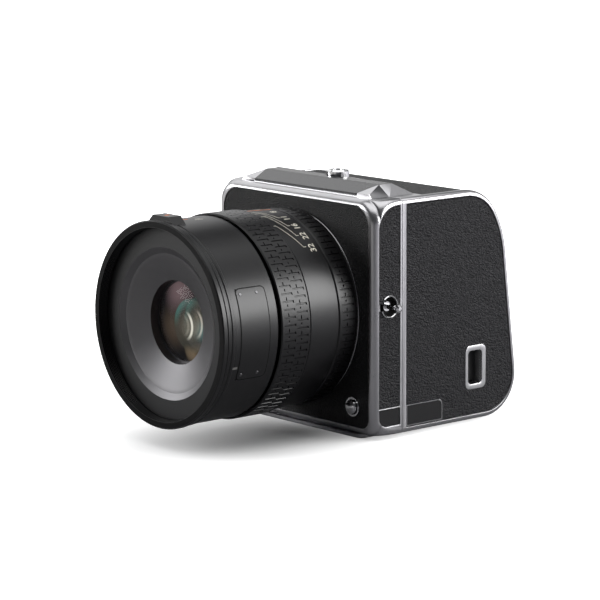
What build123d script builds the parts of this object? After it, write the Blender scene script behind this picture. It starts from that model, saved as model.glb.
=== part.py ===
from build123d import *
import os
from math import atan2, cos, degrees, radians, sin, tan

# Medium format digital camera with a leaf shutter lens, in millimetres.
# +Z is up, -Y is the way the lens looks, +X is the side with the opening door.
# The origin is the mouth of the tripod thread, in the middle of the base plate's underside.
# A depth is counted backwards from the front covering, a height from the lens axis,
# a reach forwards from the front covering, along the lens axis.

# Overall sizes
body_width = 91.0
lens_axis_height = 46.5
front_to_tripod = 30.0
top_height = 44.0
floor_drop = 45.0
body_depth = 13.7
back_depth = 62.4

# Camera body
rim_proud = 0.3
edge_round = 3.0
top_corner_round = 9.0
foot_corner_round = 6.0
side_corner_round = 2.0
corner_run = 9.3
skin = 0.5
skin_sink = 0.3
skin_clearance = 0.05
throat_radius = 30.0
front_skin_side_margin = 3.4
front_skin_top_margin = 2.3
front_skin_foot_margin = 2.8
front_skin_top_corner = 8.5
front_skin_foot_corner = 4.0
side_skin_front = 2.2
side_skin_back_margin = 1.0
side_skin_top_margin = 2.4
side_skin_foot_margin = 3.8
side_skin_top_corner = 9.0
tag_height = 6.5
tag_gap = 0.5
tag_corner = 3.6

# Ridge and name plate on top
ridge_rise = 4.0
ridge_front_rise = 1.2
ridge_front_depth = 5.2
ridge_half_width = 32.6
ridge_end_run = 5.6
plate_thickness = 1.0
plate_front_half_width = 29.5
ridge_back_depth = 20.0
ramp_back_depth = 26.0
rib_lip = 0.6
rib_gap = 0.15

# Mount ring and contacts
mount_proud = 1.0
mount_rim_radius = 36.6
mount_seat_radius = 35.0
mount_seat_depth = 2.5
mount_bore_radius = 28.6
claw_gap = 0.4
claw_thickness = 1.7
claw_count = 3
claw_arc = 54.0
seat_relief = 0.1
contact_width = 24.0
contact_height = 4.0
contact_length = 5.0
contact_count = 8
contact_pin_radius = 0.6
contact_pin_proud = 0.5

# Strap studs
stud_depth = 7.6
stud_height = 4.05
cup_radius = 4.3
cup_wall = 0.6
cup_depth = 2.6
cup_slot_height = 2.6
cup_lip = 0.2
stud_reach = 5.5
stud_neck_radius = 1.0
stud_head_radius = 1.5
stud_head_length = 2.2
stud_head_round = 0.55
stud_foot_radius = 1.8
stud_foot_length = 0.8

# Front buttons
button_reach_x = 33.5
button_drop = 34.5
release_gap = 0.4
collar_wall = 0.7
collar_proud = 0.7
collar_deep = 5.0
collar_floor = 0.8
release_head_radius = 2.6
release_head_proud = 2.4
release_head_length = 4.0
stem_radius = 1.2
lock_pin_radius = 1.1
lock_pin_circle = 32.3
lock_pin_lead = 2.2
lever_width = 3.2
lever_thickness = 1.6
lever_depth = 8.8
lever_gap = 0.3
shutter_turn = 43.8699
shutter_ring_gap = 2.0074
wheel_wall = 2.0
shutter_collar_wall = 0.65
wheel_lift = 0.3
wheel_proud = 2.4
wheel_rib_count = 24
wheel_rib_radius = 0.35
shutter_head_radius = 4.0
shutter_head_proud = 3.0
shutter_head_length = 4.0
shutter_stem_depth = 7.0
shutter_bore_depth = 9.0
shutter_head_gap = 0.3
shutter_dish_radius = 9.0
shutter_dish_depth = 0.5
head_round = 0.6

# Base and tripod thread
base_thickness = 1.5
base_side_margin = 8.5
base_front_depth = 0.6
base_back_depth = 59.0
base_corner = 3.0
base_edge = 0.5
tripod_radius = 3.175
tripod_depth = 5.0
bush_radius = 5.0
bush_height = 5.6
bush_clearance = 0.3

# Digital back
rear_lean = 6.8
shoulder_lean = 29.4
shoulder_height = 27.15
shoulder_top_radius = 18.4
shoulder_rear_radius = 40.0
foot_rear_radius = 16.0
back_edge_round = 2.0
wall = 2.5
door_rebate = 2.2
door_gap = 0.3
door_seat_gap = 0.3
ledge = 2.0
ledge_thickness = 1.2
window_half_width = 24.0
window_half_height = 19.0
window_corner = 2.0
top_skin_start_depth = 20.6
top_skin_wide_depth = 26.6
top_skin_side_margin = 3.5
top_skin_end_height = 31.0
side_back_skin_margin = 2.4

# Latch knob on the back's top
knob_depth = 22.0
knob_travel = 4.0
knob_head_radius = 4.35
knob_head_thickness = 3.0
knob_neck_radius = 2.4
knob_top_rise = 6.0
knob_gap = 0.5
knob_dish_radius = 2.9
knob_dish_depth = 0.6
latch_bar_length = 26.0
latch_bar_width = 8.0
latch_bar_thickness = 1.2

# Side door
door_thickness = 2.1
door_relief_radius = 2.6
hinge_pin_radius = 0.6
hinge_depth = 17.9
hinge_pin_hold = 1.4
recess_front_depth = 46.6
recess_back_depth = 57.4
recess_top = -15.9
recess_foot = -33.0
recess_rim = 1.4
recess_back_rim = 2.1
recess_corner = 2.4
recess_inner_corner = 1.6
recess_wall = 0.8
slider_thickness = 1.2
slider_travel = 3.0
slider_gap = 0.3
tongue_width = 6.0
tag_back_length = 18.2
tag_back_top = -34.8
tag_back_corner = 2.0
tag_border = 0.4

# Inside the back
sensor_half_width = 30.0
sensor_half_height = 24.0
sensor_thickness = 4.0
sensor_glass_half_width = 22.5
sensor_glass_half_height = 17.5
sensor_glass_proud = 0.8
board_thickness = 1.6
board_half_width = 36.0
board_half_height = 34.0
board_gap = 1.5
post_radius = 1.5
post_inset = 3.0
chip_size = 12.0
chip_thickness = 1.4
bay_wall = 1.0
battery_length = 56.0
battery_width = 17.0
battery_height = 38.0
battery_depth = 36.0
battery_round = 2.0
bay_foot = 2.2
bay_mouth_gap = 3.1
bay_clearance = 0.3
card_slot_length = 34.0
card_slot_width = 30.0
card_slot_thickness = 7.0
card_mouth_length = 26.0
card_mouth_height = 3.6
card_mouth_depth = 8.0

# Ports on the side away from the door
port_depth = 42.0
port_height = -18.0
port_length = 14.0
port_tall = 30.0
port_corner = 1.5
port_cover_thickness = 1.6
port_block_depth = 9.0
port_block_margin = 1.0
usb_length = 3.2
usb_tall = 9.0
usb_hole_depth = 6.0
jack_radius = 1.75
port_gap = 0.3
port_hinge_inset = 0.9
port_relief_radius = 1.6
port_pin_radius = 0.35
port_pin_inset = 0.9
port_pin_hold = 1.0

# Screen at the rear
screen_width = 74.0
screen_tall = 53.0
screen_thickness = 5.6
screen_top_height = 27.3
screen_seat = 1.2
screen_gap = 0.3
screen_corner = 3.0
screen_edge = 1.0
screen_back_round = 3.0
glass_margin = 2.0
glass_thickness = 1.0
hinge_setback = 2.6
hinge_lift = 3.0
screen_pin_radius = 0.8
screen_pin_length = 3.0
ear_thickness = 1.8
ear_gap = 0.3
ear_radius = 1.4
ear_root_depth = 1.2
bezel_tall = 9.6
bezel_proud = 2.6
bezel_deep = 3.2
bezel_round = 2.0
rear_button_count = 5
rear_button_pitch = 13.6
rear_button_width = 9.0
rear_button_tall = 4.4
rear_button_proud = 0.7
rear_button_travel = 0.7
rear_button_corner = 1.0
rear_button_gap = 0.3
rear_button_well = 3.4

# Lens, radii about the lens axis and reaches forwards of the front covering
lens_length = 66.3
lens_flange_thickness = 2.0
lens_tube_radius = 26.0
lens_tube_bore = 22.0
lens_tube_back = 4.5
lens_tab_gap = 0.4
lens_tab_thickness = 1.6
core_radius = 34.0
core_wall = 3.0
core_front_drop = 6.3
run_fit = 0.05
ring_gap = 0.3
ring_edge = 0.4
control_gap = 0.5
control_front = 10.6
control_wall = 3.6
scale_front = 25.0
scale_front_wall = 4.1
focus_length = 13.8
focus_wall = 2.5
focus_lip_wall = 0.5
focus_lip_length = 5.4
sleeve_wall = 2.2
sleeve_lead = 0.5
key_count = 3
key_width = 4.0
key_height = 0.9
key_fit = 0.3
key_turn = 30.0
barrel_back = 40.0
barrel_wall = 3.9
rim_step = 0.7
rim_length = 1.9
rib_step = 0.3
rib_back_offsets = (2.4, 4.4)
rib_width = 1.6
rib_groove = 0.35
rim_wall = 2.6
thread_depth = 4.0
name_ring_inner = 27.5
name_ring_thickness = 0.8
name_ring_margin = 0.1
name_bore_step = 0.5
name_ring_seat = 0.9
cone_inner = 15.7
cone_drop = 4.1
cone_wall = 1.0
glass_cell_depth = 7.0
front_glass_drop = 4.3
front_glass_rise = 3.0
front_glass_thickness = 2.7
retainer_radius = 14.9
retainer_thickness = 0.8
pad_half_width = 7.4
pad_top_half_width = 4.6
pad_rise = 1.7
pad_back_drop = 7.9
pad_length = 5.8
badge_front_drop = 8.6
badge_length = 11.3
badge_middle_turn = 90.0
badge_half_angle = 26.0
badge_sink = 0.45
badge_proud = 0.15
badge_corner = 1.4
badge_gap = 0.25
iris_reach = 33.0
iris_radius = 22.0
iris_opening = 9.0
iris_blade_count = 9
iris_thickness = 0.6
shelf_thickness = 1.5
iris_rim = 24.0
middle_glass_reach = 43.0
middle_shelf_reach = 42.2
middle_glass_radius = 12.0
middle_glass_thickness = 5.0
middle_glass_bulge = 2.0
middle_holder_wall = 1.5
rear_glass_reach = 2.0
rear_glass_radius = 16.0
rear_glass_thickness = 3.0
rear_glass_bulge = 1.5
cell_back = 14.0
cell_length = 9.0
cell_bore = 15.0
cell_fit = 0.3
cell_glass_thickness = 5.0
cell_glass_bulge = 1.5
guide_radius = 22.0
guide_wall = 1.2
guide_back = 11.0
guide_front = 28.0

# Sizes worked out from the ones above
half_width = body_width / 2
front_y = -front_to_tripod
seam_y = front_y + body_depth
rim_y = front_y - rim_proud
box_floor = lens_axis_height - floor_drop
box_top = lens_axis_height + top_height
box_height = box_top - box_floor
centre_z = (box_floor + box_top) / 2
skin_recess = skin + skin_sink
skin_face = half_width - skin_sink
skin_floor = half_width - skin_recess
base_half_width = half_width - base_side_margin
top_skin_half_width = half_width - top_skin_side_margin
door_seat_depth = skin_recess + door_thickness + door_seat_gap
collar_radius = release_head_radius + release_gap + collar_wall
wheel_bore = shutter_head_radius + shutter_head_gap + shutter_collar_wall + run_fit
wheel_radius = wheel_bore + wheel_wall
lens_axis = Axis((0, front_y, lens_axis_height), (0, -1, 0))
core_bore = core_radius - core_wall
control_radius = core_radius + control_wall
scale_front_radius = core_radius + scale_front_wall
sleeve_radius = core_radius + sleeve_wall
focus_radius = sleeve_radius + focus_wall
barrel_radius = core_radius + barrel_wall
rim_radius = barrel_radius + rim_step
rib_radius = barrel_radius + rib_step
thread_radius = rim_radius - rim_wall
name_bore_radius = thread_radius - name_bore_step
core_front = lens_length - core_front_drop
rim_back = lens_length - rim_length
rib_fronts = [lens_length - drop for drop in rib_back_offsets]
pad_back = lens_length - pad_back_drop
badge_front = lens_length - badge_front_drop
badge_back = badge_front - badge_length
claw_radius = lens_tube_radius + claw_gap
lens_tab_radius = mount_bore_radius - lens_tab_gap


def deep(depth):
    """The y of a depth behind the front covering."""
    return front_y + depth


def high(height):
    """The z of a height above the lens axis."""
    return lens_axis_height + height


def facing(y):
    """Plane across the lens axis at y: right is +X, up is +Z, out is forwards."""
    return Plane(origin=(0, y, 0), x_dir=(1, 0, 0), z_dir=(0, -1, 0))


def beside(x):
    """Plane across the width at x: right is backwards, up is +Z, out is +X."""
    return Plane(origin=(x, 0, 0), x_dir=(0, 1, 0), z_dir=(1, 0, 0))


def around_lens(reach):
    """Plane across the lens axis and centred on it, that far in front of the covering."""
    return Plane(origin=(0, front_y - reach, lens_axis_height), x_dir=(1, 0, 0), z_dir=(0, -1, 0))


def lens_section(turn=0):
    """Plane that holds the lens axis: right is the reach, up is the radius, turned from +Z to +X."""
    way = (-cos(radians(turn)), 0, sin(radians(turn)))
    return Plane(origin=(0, front_y, lens_axis_height), x_dir=(0, -1, 0), z_dir=way)


def shape(*points):
    """Filled polygon through the points, as they stand, in the sketch that is open."""
    Polygon(*points, align=None)


def block(low, high_corner):
    """The four corners of an upright rectangle."""
    return (low, (high_corner[0], low[1]), high_corner, (low[0], high_corner[1]))


def finish(piece, label):
    """Name a finished piece and write it to its own file."""
    piece.part.label = label
    export_step(piece.part, "parts/" + label + ".step")


os.makedirs("parts", exist_ok=True)

# Side outline of the back: flat top, two arcs to the leaning rear, one arc to the floor
back_radii = (foot_rear_radius, shoulder_rear_radius, shoulder_top_radius)
rear_foot_y = seam_y + back_depth
shoulder_y = rear_foot_y - (shoulder_height + floor_drop) * tan(radians(rear_lean))
crest_y = shoulder_y - (top_height - shoulder_height) * tan(radians(shoulder_lean))


def back_outline(inset=0):
    """Side outline of the back, moved inwards by inset, as a sketch to add."""
    with BuildSketch(mode=Mode.PRIVATE) as outline:
        corners = (
            (seam_y, box_floor),
            (rear_foot_y, box_floor),
            (shoulder_y, high(shoulder_height)),
            (crest_y, box_top),
            (seam_y, box_top),
        )
        Polygon(*corners, align=None)
        for corner, radius in zip(corners[1:4], back_radii):
            fillet(outline.vertices().sort_by_distance((corner[0], corner[1], 0))[0], radius)
        if inset:
            offset(amount=-inset, kind=Kind.INTERSECTION)
    return outline.sketch


# The leaning rear: up runs up the slope from the screen's top edge, out runs away from the back
rear_out = (0, cos(radians(rear_lean)), sin(radians(rear_lean)))
rear_up = (0, -sin(radians(rear_lean)), cos(radians(rear_lean)))
screen_top_y = rear_foot_y - (screen_top_height + floor_drop) * tan(radians(rear_lean))


def rear_place(x, up, out):
    """A point at x on the leaning rear, as a tuple."""
    y = screen_top_y + up * rear_up[1] + out * rear_out[1]
    return x, y, high(screen_top_height) + up * rear_up[2] + out * rear_out[2]


def rear_plane(up, out):
    """Plane parallel to the leaning rear, seen from behind: right is -X, up is up the slope."""
    return Plane(origin=rear_place(0, up, out), x_dir=(-1, 0, 0), z_dir=rear_out)


# Ridge on top, with a ramp at each end, shared by the body and the back
ramp_foot = ridge_end_run * (ridge_rise + plate_thickness) / ridge_rise
ridge_corners = (
    (-ridge_half_width - ramp_foot, box_top - plate_thickness),
    (ridge_half_width + ramp_foot, box_top - plate_thickness),
    (ridge_half_width, box_top + ridge_rise),
    (-ridge_half_width, box_top + ridge_rise),
)

# Dark name plate, left bare, on the slope of the ridge
ridge_front_y = deep(ridge_front_depth)
ridge_front_z = box_top + ridge_front_rise
ridge_top_z = box_top + ridge_rise
with BuildPart() as name_plate:
    with BuildSketch(beside(-half_width)):
        shape((ridge_front_y, ridge_front_z), (ridge_front_y, ridge_front_z - plate_thickness),
              (seam_y, ridge_top_z - plate_thickness), (seam_y, ridge_top_z))
    extrude(amount=body_width)
    with BuildSketch(Plane.XY.offset(box_top - plate_thickness)):
        shape((-plate_front_half_width, ridge_front_y), (plate_front_half_width, ridge_front_y),
              (ridge_half_width, seam_y), (-ridge_half_width, seam_y))
    extrude(amount=ridge_rise + plate_thickness + plate_thickness, mode=Mode.INTERSECT)
finish(name_plate, "name_plate")

# The part of the ridge that stands on the body
with BuildPart() as body_ridge:
    with BuildSketch(facing(seam_y)):
        shape(*ridge_corners)
    extrude(amount=body_depth)
    with BuildSketch(beside(-half_width)):
        shape((ridge_front_y, box_top - plate_thickness), (seam_y, box_top - plate_thickness),
              (seam_y, ridge_top_z), (ridge_front_y, ridge_front_z))
    extrude(amount=body_width, mode=Mode.INTERSECT)


# Coverings of the body: outlines for both the recess and the skin that lies in it
def front_skin_outline(y, clearance):
    """Outline of the front covering, with a round hole for the mount, at y."""
    with BuildSketch(facing(y), mode=Mode.PRIVATE) as outline:
        foot = box_floor + front_skin_foot_margin + clearance
        top = box_top - front_skin_top_margin - clearance
        side = half_width - front_skin_side_margin - clearance
        shape(*block((-side, foot), (side, top)))
        fillet(outline.vertices().group_by(Axis.Y)[-1], front_skin_top_corner)
        fillet(outline.vertices().group_by(Axis.Y)[0], front_skin_foot_corner)
        with Locations((0, lens_axis_height)):
            Circle(mount_rim_radius + seat_relief + clearance, mode=Mode.SUBTRACT)
    return outline.sketch


side_skin_back_y = seam_y - side_skin_back_margin
side_skin_front_y = deep(side_skin_front)
side_skin_foot = box_floor + side_skin_foot_margin
side_skin_top = box_top - side_skin_top_margin
tag_side_foot = side_skin_foot + tag_height + tag_gap


def side_skin_outline(x, foot, clearance):
    """Outline of a side covering of the body, round at its top front corner, at x."""
    with BuildSketch(beside(x), mode=Mode.PRIVATE) as outline:
        shape(*block((side_skin_front_y + clearance, foot + clearance),
                     (side_skin_back_y - clearance, side_skin_top - clearance)))
        crest = outline.vertices().sort_by_distance((side_skin_front_y, side_skin_top, 0))[0]
        fillet(crest, side_skin_top_corner)
    return outline.sketch


def body_tag_outline(x, clearance):
    """Outline of the tag plate at the foot of the side covering, at x."""
    with BuildSketch(beside(x), mode=Mode.PRIVATE) as outline:
        shape(*block((side_skin_front_y + clearance, side_skin_foot + clearance),
                     (side_skin_back_y - clearance, side_skin_foot + tag_height - clearance)))
        foot = outline.vertices().sort_by_distance((side_skin_front_y, side_skin_foot, 0))[0]
        fillet(foot, tag_corner)
    return outline.sketch


# Places of the pieces on the front
stud_y = deep(stud_depth)
stud_z = high(stud_height)
cup_slot_foot = stud_z - cup_slot_height / 2
release_place = (button_reach_x, high(-button_drop))
shutter_circle = control_radius + shutter_ring_gap + wheel_radius
shutter_place = (-shutter_circle * sin(radians(shutter_turn)),
                 high(-shutter_circle * cos(radians(shutter_turn))))
release_circle = (button_reach_x ** 2 + button_drop ** 2) ** 0.5
lock_share = lock_pin_circle / release_circle
lock_place = (button_reach_x * lock_share, high(-button_drop * lock_share))
lever_length = release_circle - lock_pin_circle
lever_turn = -degrees(atan2(button_drop, button_reach_x))
lever_place = ((release_place[0] + lock_place[0]) / 2, (release_place[1] + lock_place[1]) / 2)
shutter_collar_outer = wheel_bore - run_fit
shutter_collar_inner = shutter_head_radius + shutter_head_gap


# Front housing of the camera body
def housing_section(y, inset, corner, foot_corner):
    """One cross-section of the housing: a box outline with round top and foot corners."""
    with BuildSketch(facing(y), mode=Mode.PRIVATE) as section:
        shape(*block((-half_width + inset, box_floor + inset), (half_width - inset, box_top - inset)))
        fillet(section.vertices().group_by(Axis.Y)[-1], corner)
        fillet(section.vertices().group_by(Axis.Y)[0], foot_corner)
    return section.sketch


edge_turns = (0, 15, 30, 45, 60, 75, 90)
corner_steps = (0.04, 0.1, 0.18, 0.28, 0.4, 0.54, 0.7, 1.0)
housing_sections = []
for turn in edge_turns:
    edge_inset = edge_round - edge_round * sin(radians(turn))
    edge_depth = edge_round - edge_round * cos(radians(turn))
    housing_sections.append(housing_section(rim_y + edge_depth, edge_inset, top_corner_round - edge_inset,
                                            foot_corner_round - edge_inset))
for step in corner_steps:
    fall = (1 - (1 - step) ** 2) ** 0.5
    corner_now = top_corner_round - (top_corner_round - side_corner_round) * fall
    foot_now = foot_corner_round - (foot_corner_round - side_corner_round) * fall
    housing_sections.append(housing_section(rim_y + edge_round + corner_run * step, 0, corner_now, foot_now))
housing_sections.append(housing_section(seam_y, 0, side_corner_round, side_corner_round))

with BuildPart() as body_frame:
    loft(housing_sections, ruled=True)
    add(body_ridge.part)
    add(name_plate.part, mode=Mode.SUBTRACT)
    # Throat, seat of the mount ring, recesses of the coverings
    with BuildSketch(around_lens(-body_depth)):
        Circle(throat_radius)
    extrude(amount=body_depth + rim_proud, mode=Mode.SUBTRACT)
    with BuildSketch(around_lens(-mount_seat_depth)):
        Circle(mount_seat_radius)
    extrude(amount=mount_seat_depth + rim_proud, mode=Mode.SUBTRACT)
    extrude(front_skin_outline(rim_y, 0), amount=-rim_proud - skin, mode=Mode.SUBTRACT)
    extrude(side_skin_outline(skin_floor, tag_side_foot, 0), amount=skin_recess, mode=Mode.SUBTRACT)
    extrude(body_tag_outline(skin_floor, 0), amount=skin_recess, mode=Mode.SUBTRACT)
    extrude(side_skin_outline(-half_width, side_skin_foot, 0), amount=skin_recess, mode=Mode.SUBTRACT)
    # Seats of the strap cups, with the short slot that runs forwards from each
    with BuildSketch(beside(half_width - cup_depth - cup_wall)):
        with Locations((stud_y, stud_z)):
            Circle(cup_radius)
    extrude(amount=cup_depth + cup_wall, mode=Mode.SUBTRACT)
    with BuildSketch(beside(-half_width)):
        with Locations((stud_y, stud_z)):
            Circle(cup_radius)
    extrude(amount=cup_depth + cup_wall, mode=Mode.SUBTRACT)
    # Bores of the two front buttons and the pocket of the lock lever, which opens at the seam
    with BuildSketch(facing(rim_y)):
        with Locations(release_place):
            Circle(collar_radius)
        with Locations(shutter_place):
            Circle(shutter_collar_outer)
    extrude(amount=-rim_proud - collar_deep, mode=Mode.SUBTRACT)
    with BuildSketch(facing(deep(collar_deep))):
        with Locations(release_place, shutter_place):
            Circle(stem_radius + lever_gap)
    extrude(amount=collar_deep - shutter_bore_depth, mode=Mode.SUBTRACT)
    with BuildSketch(facing(seam_y)):
        with Locations(lever_place):
            SlotCenterToCenter(lever_length, lever_width + lever_gap + lever_gap, rotation=lever_turn)
    extrude(amount=body_depth - lever_depth + lever_gap, mode=Mode.SUBTRACT)
    with BuildSketch(facing(seam_y)):
        with Locations(lock_place):
            Circle(lock_pin_radius + run_fit)
    extrude(amount=body_depth + rim_proud, mode=Mode.SUBTRACT)
finish(body_frame, "body_frame")

# Coverings and tag plate of the body
with BuildPart() as front_leather:
    extrude(front_skin_outline(front_y, skin_clearance), amount=-skin)
    with BuildSketch(facing(front_y)):
        with Locations(release_place):
            Circle(collar_radius + skin_clearance)
        with Locations(shutter_place):
            Circle(shutter_collar_outer + skin_clearance)
    extrude(amount=-skin, mode=Mode.SUBTRACT)
finish(front_leather, "front_leather")

with BuildPart() as side_leathers:
    extrude(side_skin_outline(skin_floor, tag_side_foot, skin_clearance), amount=skin)
    extrude(side_skin_outline(-skin_face, side_skin_foot, skin_clearance), amount=skin)
    with BuildSketch(beside(-half_width)):
        with Locations((stud_y, stud_z)):
            Circle(cup_radius + skin_clearance)
        shape(*block((side_skin_front_y, cup_slot_foot), (stud_y, cup_slot_foot + cup_slot_height)))
    extrude(amount=body_width, mode=Mode.SUBTRACT)
finish(side_leathers, "side_leathers")

with BuildPart() as body_tag_plate:
    extrude(body_tag_outline(skin_floor, skin_clearance), amount=skin)
finish(body_tag_plate, "body_tag_plate")

# Mount ring with its three claws, and the hole of the lens lock pin
with BuildPart() as mount_ring:
    with BuildSketch(lens_section()):
        shape((-mount_seat_depth, mount_bore_radius), (-mount_seat_depth, mount_seat_radius),
              (rim_proud, mount_seat_radius), (rim_proud, mount_rim_radius),
              (mount_proud, mount_rim_radius), (mount_proud, mount_bore_radius))
    revolve(axis=lens_axis)
    for claw in range(claw_count):
        with BuildSketch(lens_section(360 * claw / claw_count)):
            shape(*block((-mount_seat_depth, claw_radius),
                         (-mount_seat_depth + claw_thickness, mount_bore_radius)))
        revolve(axis=lens_axis, revolution_arc=claw_arc)
    with BuildSketch(facing(seam_y)):
        with Locations(lock_place):
            Circle(lock_pin_radius + run_fit)
    extrude(amount=body_depth + mount_proud, mode=Mode.SUBTRACT)
finish(mount_ring, "mount_ring")

# Contact block on the throat's floor, with a row of sprung pins
contact_front = deep(lens_tube_back + ring_gap + contact_pin_proud)
with BuildPart() as contact_block:
    with BuildSketch(around_lens(front_y - contact_front - contact_length)):
        Circle(throat_radius)
        with Locations((0, -throat_radius)):
            Rectangle(contact_width, contact_height + contact_height, mode=Mode.INTERSECT)
    extrude(amount=contact_length)
    with BuildSketch(around_lens(front_y - contact_front)):
        with Locations((0, contact_pin_radius + contact_pin_radius - throat_radius + contact_height / 2)):
            with GridLocations(contact_width / contact_count, 0, contact_count, 1):
                Circle(contact_pin_radius)
    extrude(amount=contact_pin_proud)
finish(contact_block, "contact_block")

# Strap cups and studs, one pair on each side
stud_section = Plane(origin=(half_width, stud_y, stud_z), x_dir=(1, 0, 0), z_dir=(0, -1, 0))
stud_axis = Axis((0, stud_y, stud_z), (1, 0, 0))
with BuildPart() as strap_studs:
    with BuildSketch(stud_section):
        shape((-cup_depth - cup_wall, 0), (-cup_depth - cup_wall, cup_radius),
              (cup_lip - skin_sink, cup_radius), (cup_lip, cup_radius - cup_wall / 2),
              (cup_lip - skin_sink, cup_radius - cup_wall),
              (-cup_depth, cup_radius - cup_wall - cup_wall), (-cup_depth, 0))
    revolve(axis=stud_axis)
    with BuildSketch(beside(half_width - cup_depth)):
        shape(*block((stud_y - cup_radius, cup_slot_foot), (stud_y, cup_slot_foot + cup_slot_height)))
    extrude(amount=cup_depth + cup_lip, mode=Mode.SUBTRACT)
    with BuildSketch(stud_section):
        head_back = stud_reach - stud_head_length
        shape((-cup_depth, 0), (-cup_depth, stud_foot_radius),
              (stud_foot_length - cup_depth, stud_foot_radius),
              (stud_foot_length - cup_depth, stud_neck_radius), (head_back, stud_neck_radius),
              (head_back + stud_head_round, stud_head_radius),
              (stud_reach - stud_head_round, stud_head_radius),
              (stud_reach, stud_head_radius / 2), (stud_reach, 0))
    revolve(axis=stud_axis)
    mirror(about=Plane.YZ)
finish(strap_studs, "strap_studs")

# Collars of the two front buttons
release_centre = (release_place[0], front_y, release_place[1])
shutter_centre = (shutter_place[0], front_y, shutter_place[1])
release_plane = Plane(origin=release_centre, x_dir=(0, -1, 0), z_dir=(-1, 0, 0))
shutter_plane = Plane(origin=shutter_centre, x_dir=(0, -1, 0), z_dir=(-1, 0, 0))
release_axis = Axis(release_centre, (0, -1, 0))
shutter_axis = Axis(shutter_centre, (0, -1, 0))
with BuildPart() as button_collars:
    with BuildSketch(release_plane):
        shape((-collar_deep, stem_radius + run_fit), (-collar_deep, collar_radius), (0, collar_radius),
              (collar_proud, collar_radius), (collar_proud, collar_radius - collar_wall),
              (collar_floor - collar_deep, collar_radius - collar_wall),
              (collar_floor - collar_deep, stem_radius + run_fit))
    revolve(axis=release_axis)
    with BuildSketch(shutter_plane):
        shape((-collar_deep, stem_radius + run_fit), (-collar_deep, shutter_collar_outer),
              (wheel_proud, shutter_collar_outer), (wheel_proud, shutter_collar_inner),
              (collar_floor - collar_deep, shutter_collar_inner),
              (collar_floor - collar_deep, stem_radius + run_fit))
    revolve(axis=shutter_axis)
finish(button_collars, "button_collars")

dome_shares = (1.0, 0.8, 0.6, 0.4, 0.2, 0)

# Lens release button: domed head, stem down to the lever
with BuildPart() as lens_release_button:
    with BuildSketch(release_plane):
        dome = []
        for share in dome_shares:
            dome.append((release_head_proud - head_round * share * share, release_head_radius * share))
        shape((-lever_depth, 0), (-lever_depth, stem_radius),
              (release_head_proud - release_head_length, stem_radius),
              (release_head_proud - release_head_length, release_head_radius), *dome)
    revolve(axis=release_axis)
finish(lens_release_button, "lens_release_button")

# Lock lever behind the mount with the pin that holds the lens
with BuildPart() as lens_lock_pin:
    with BuildSketch(facing(deep(lever_depth))):
        with Locations(lever_place):
            SlotCenterToCenter(lever_length, lever_width, rotation=lever_turn)
    extrude(amount=-lever_thickness)
    with BuildSketch(facing(deep(lever_depth))):
        with Locations(lock_place):
            Circle(lock_pin_radius)
    extrude(amount=lever_depth + lock_pin_lead)
finish(lens_lock_pin, "lens_lock_pin")

# Shutter button with a shallow dish, and the ribbed control wheel around it
with BuildPart() as shutter_button:
    with BuildSketch(shutter_plane):
        shape((-shutter_stem_depth, 0), (-shutter_stem_depth, stem_radius),
              (shutter_head_proud - shutter_head_length, stem_radius),
              (shutter_head_proud - shutter_head_length, shutter_head_radius),
              (shutter_head_proud - head_round, shutter_head_radius),
              (shutter_head_proud, shutter_head_radius - head_round), (shutter_head_proud, 0))
    revolve(axis=shutter_axis)
    with Locations((shutter_place[0], front_y - shutter_head_proud - shutter_dish_radius + shutter_dish_depth,
                    shutter_place[1])):
        Sphere(shutter_dish_radius, mode=Mode.SUBTRACT)
finish(shutter_button, "shutter_button")

with BuildPart() as control_wheel:
    with BuildSketch(shutter_plane):
        shape((wheel_lift, wheel_bore), (wheel_lift, wheel_radius),
              (wheel_proud - head_round, wheel_radius),
              (wheel_proud, wheel_radius - head_round), (wheel_proud, wheel_bore))
    revolve(axis=shutter_axis)
    with BuildSketch(facing(front_y)):
        with Locations(shutter_place):
            with PolarLocations(wheel_radius, wheel_rib_count):
                Circle(wheel_rib_radius)
    extrude(amount=wheel_proud, mode=Mode.SUBTRACT)
finish(control_wheel, "control_wheel")

# Base plate under the body and back, and the threaded bush in it
with BuildPart() as base_plate:
    with BuildSketch():
        shape(*block((-base_half_width, deep(base_front_depth)),
                     (base_half_width, deep(base_back_depth))))
    extrude(amount=base_thickness)
    fillet(base_plate.edges().filter_by(Axis.Z), base_corner)
    chamfer(base_plate.faces().sort_by(Axis.Z)[0].edges(), base_edge)
    with BuildSketch():
        Circle(bush_radius)
    extrude(amount=base_thickness, mode=Mode.SUBTRACT)
finish(base_plate, "base_plate")

with BuildPart() as tripod_bush:
    with BuildSketch():
        Circle(bush_radius)
    extrude(amount=bush_height)
    with BuildSketch():
        Circle(tripod_radius)
    extrude(amount=tripod_depth, mode=Mode.SUBTRACT)
finish(tripod_bush, "tripod_bush")


def lay(sketch, x):
    """Put a side outline on the plane across the width at x."""
    return beside(x) * sketch


def top_band(outer, inner, start_depth, end_height):
    """Side outline of a band that follows the back's top, from start_depth to end_height."""
    with BuildSketch(mode=Mode.PRIVATE) as band:
        add(back_outline(outer))
        add(back_outline(inner), mode=Mode.SUBTRACT)
        shape_low = (deep(start_depth), high(end_height))
        Polygon(*block(shape_low, (rear_foot_y, box_top + wall)), align=None, mode=Mode.INTERSECT)
    return band.sketch


def side_block(low_depth, high_depth, low_height, high_height, margin=0):
    """Corners of a block on a side outline, grown by margin."""
    return block((deep(low_depth) - margin, high(low_height) - margin),
                 (deep(high_depth) + margin, high(high_height) + margin))


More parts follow.
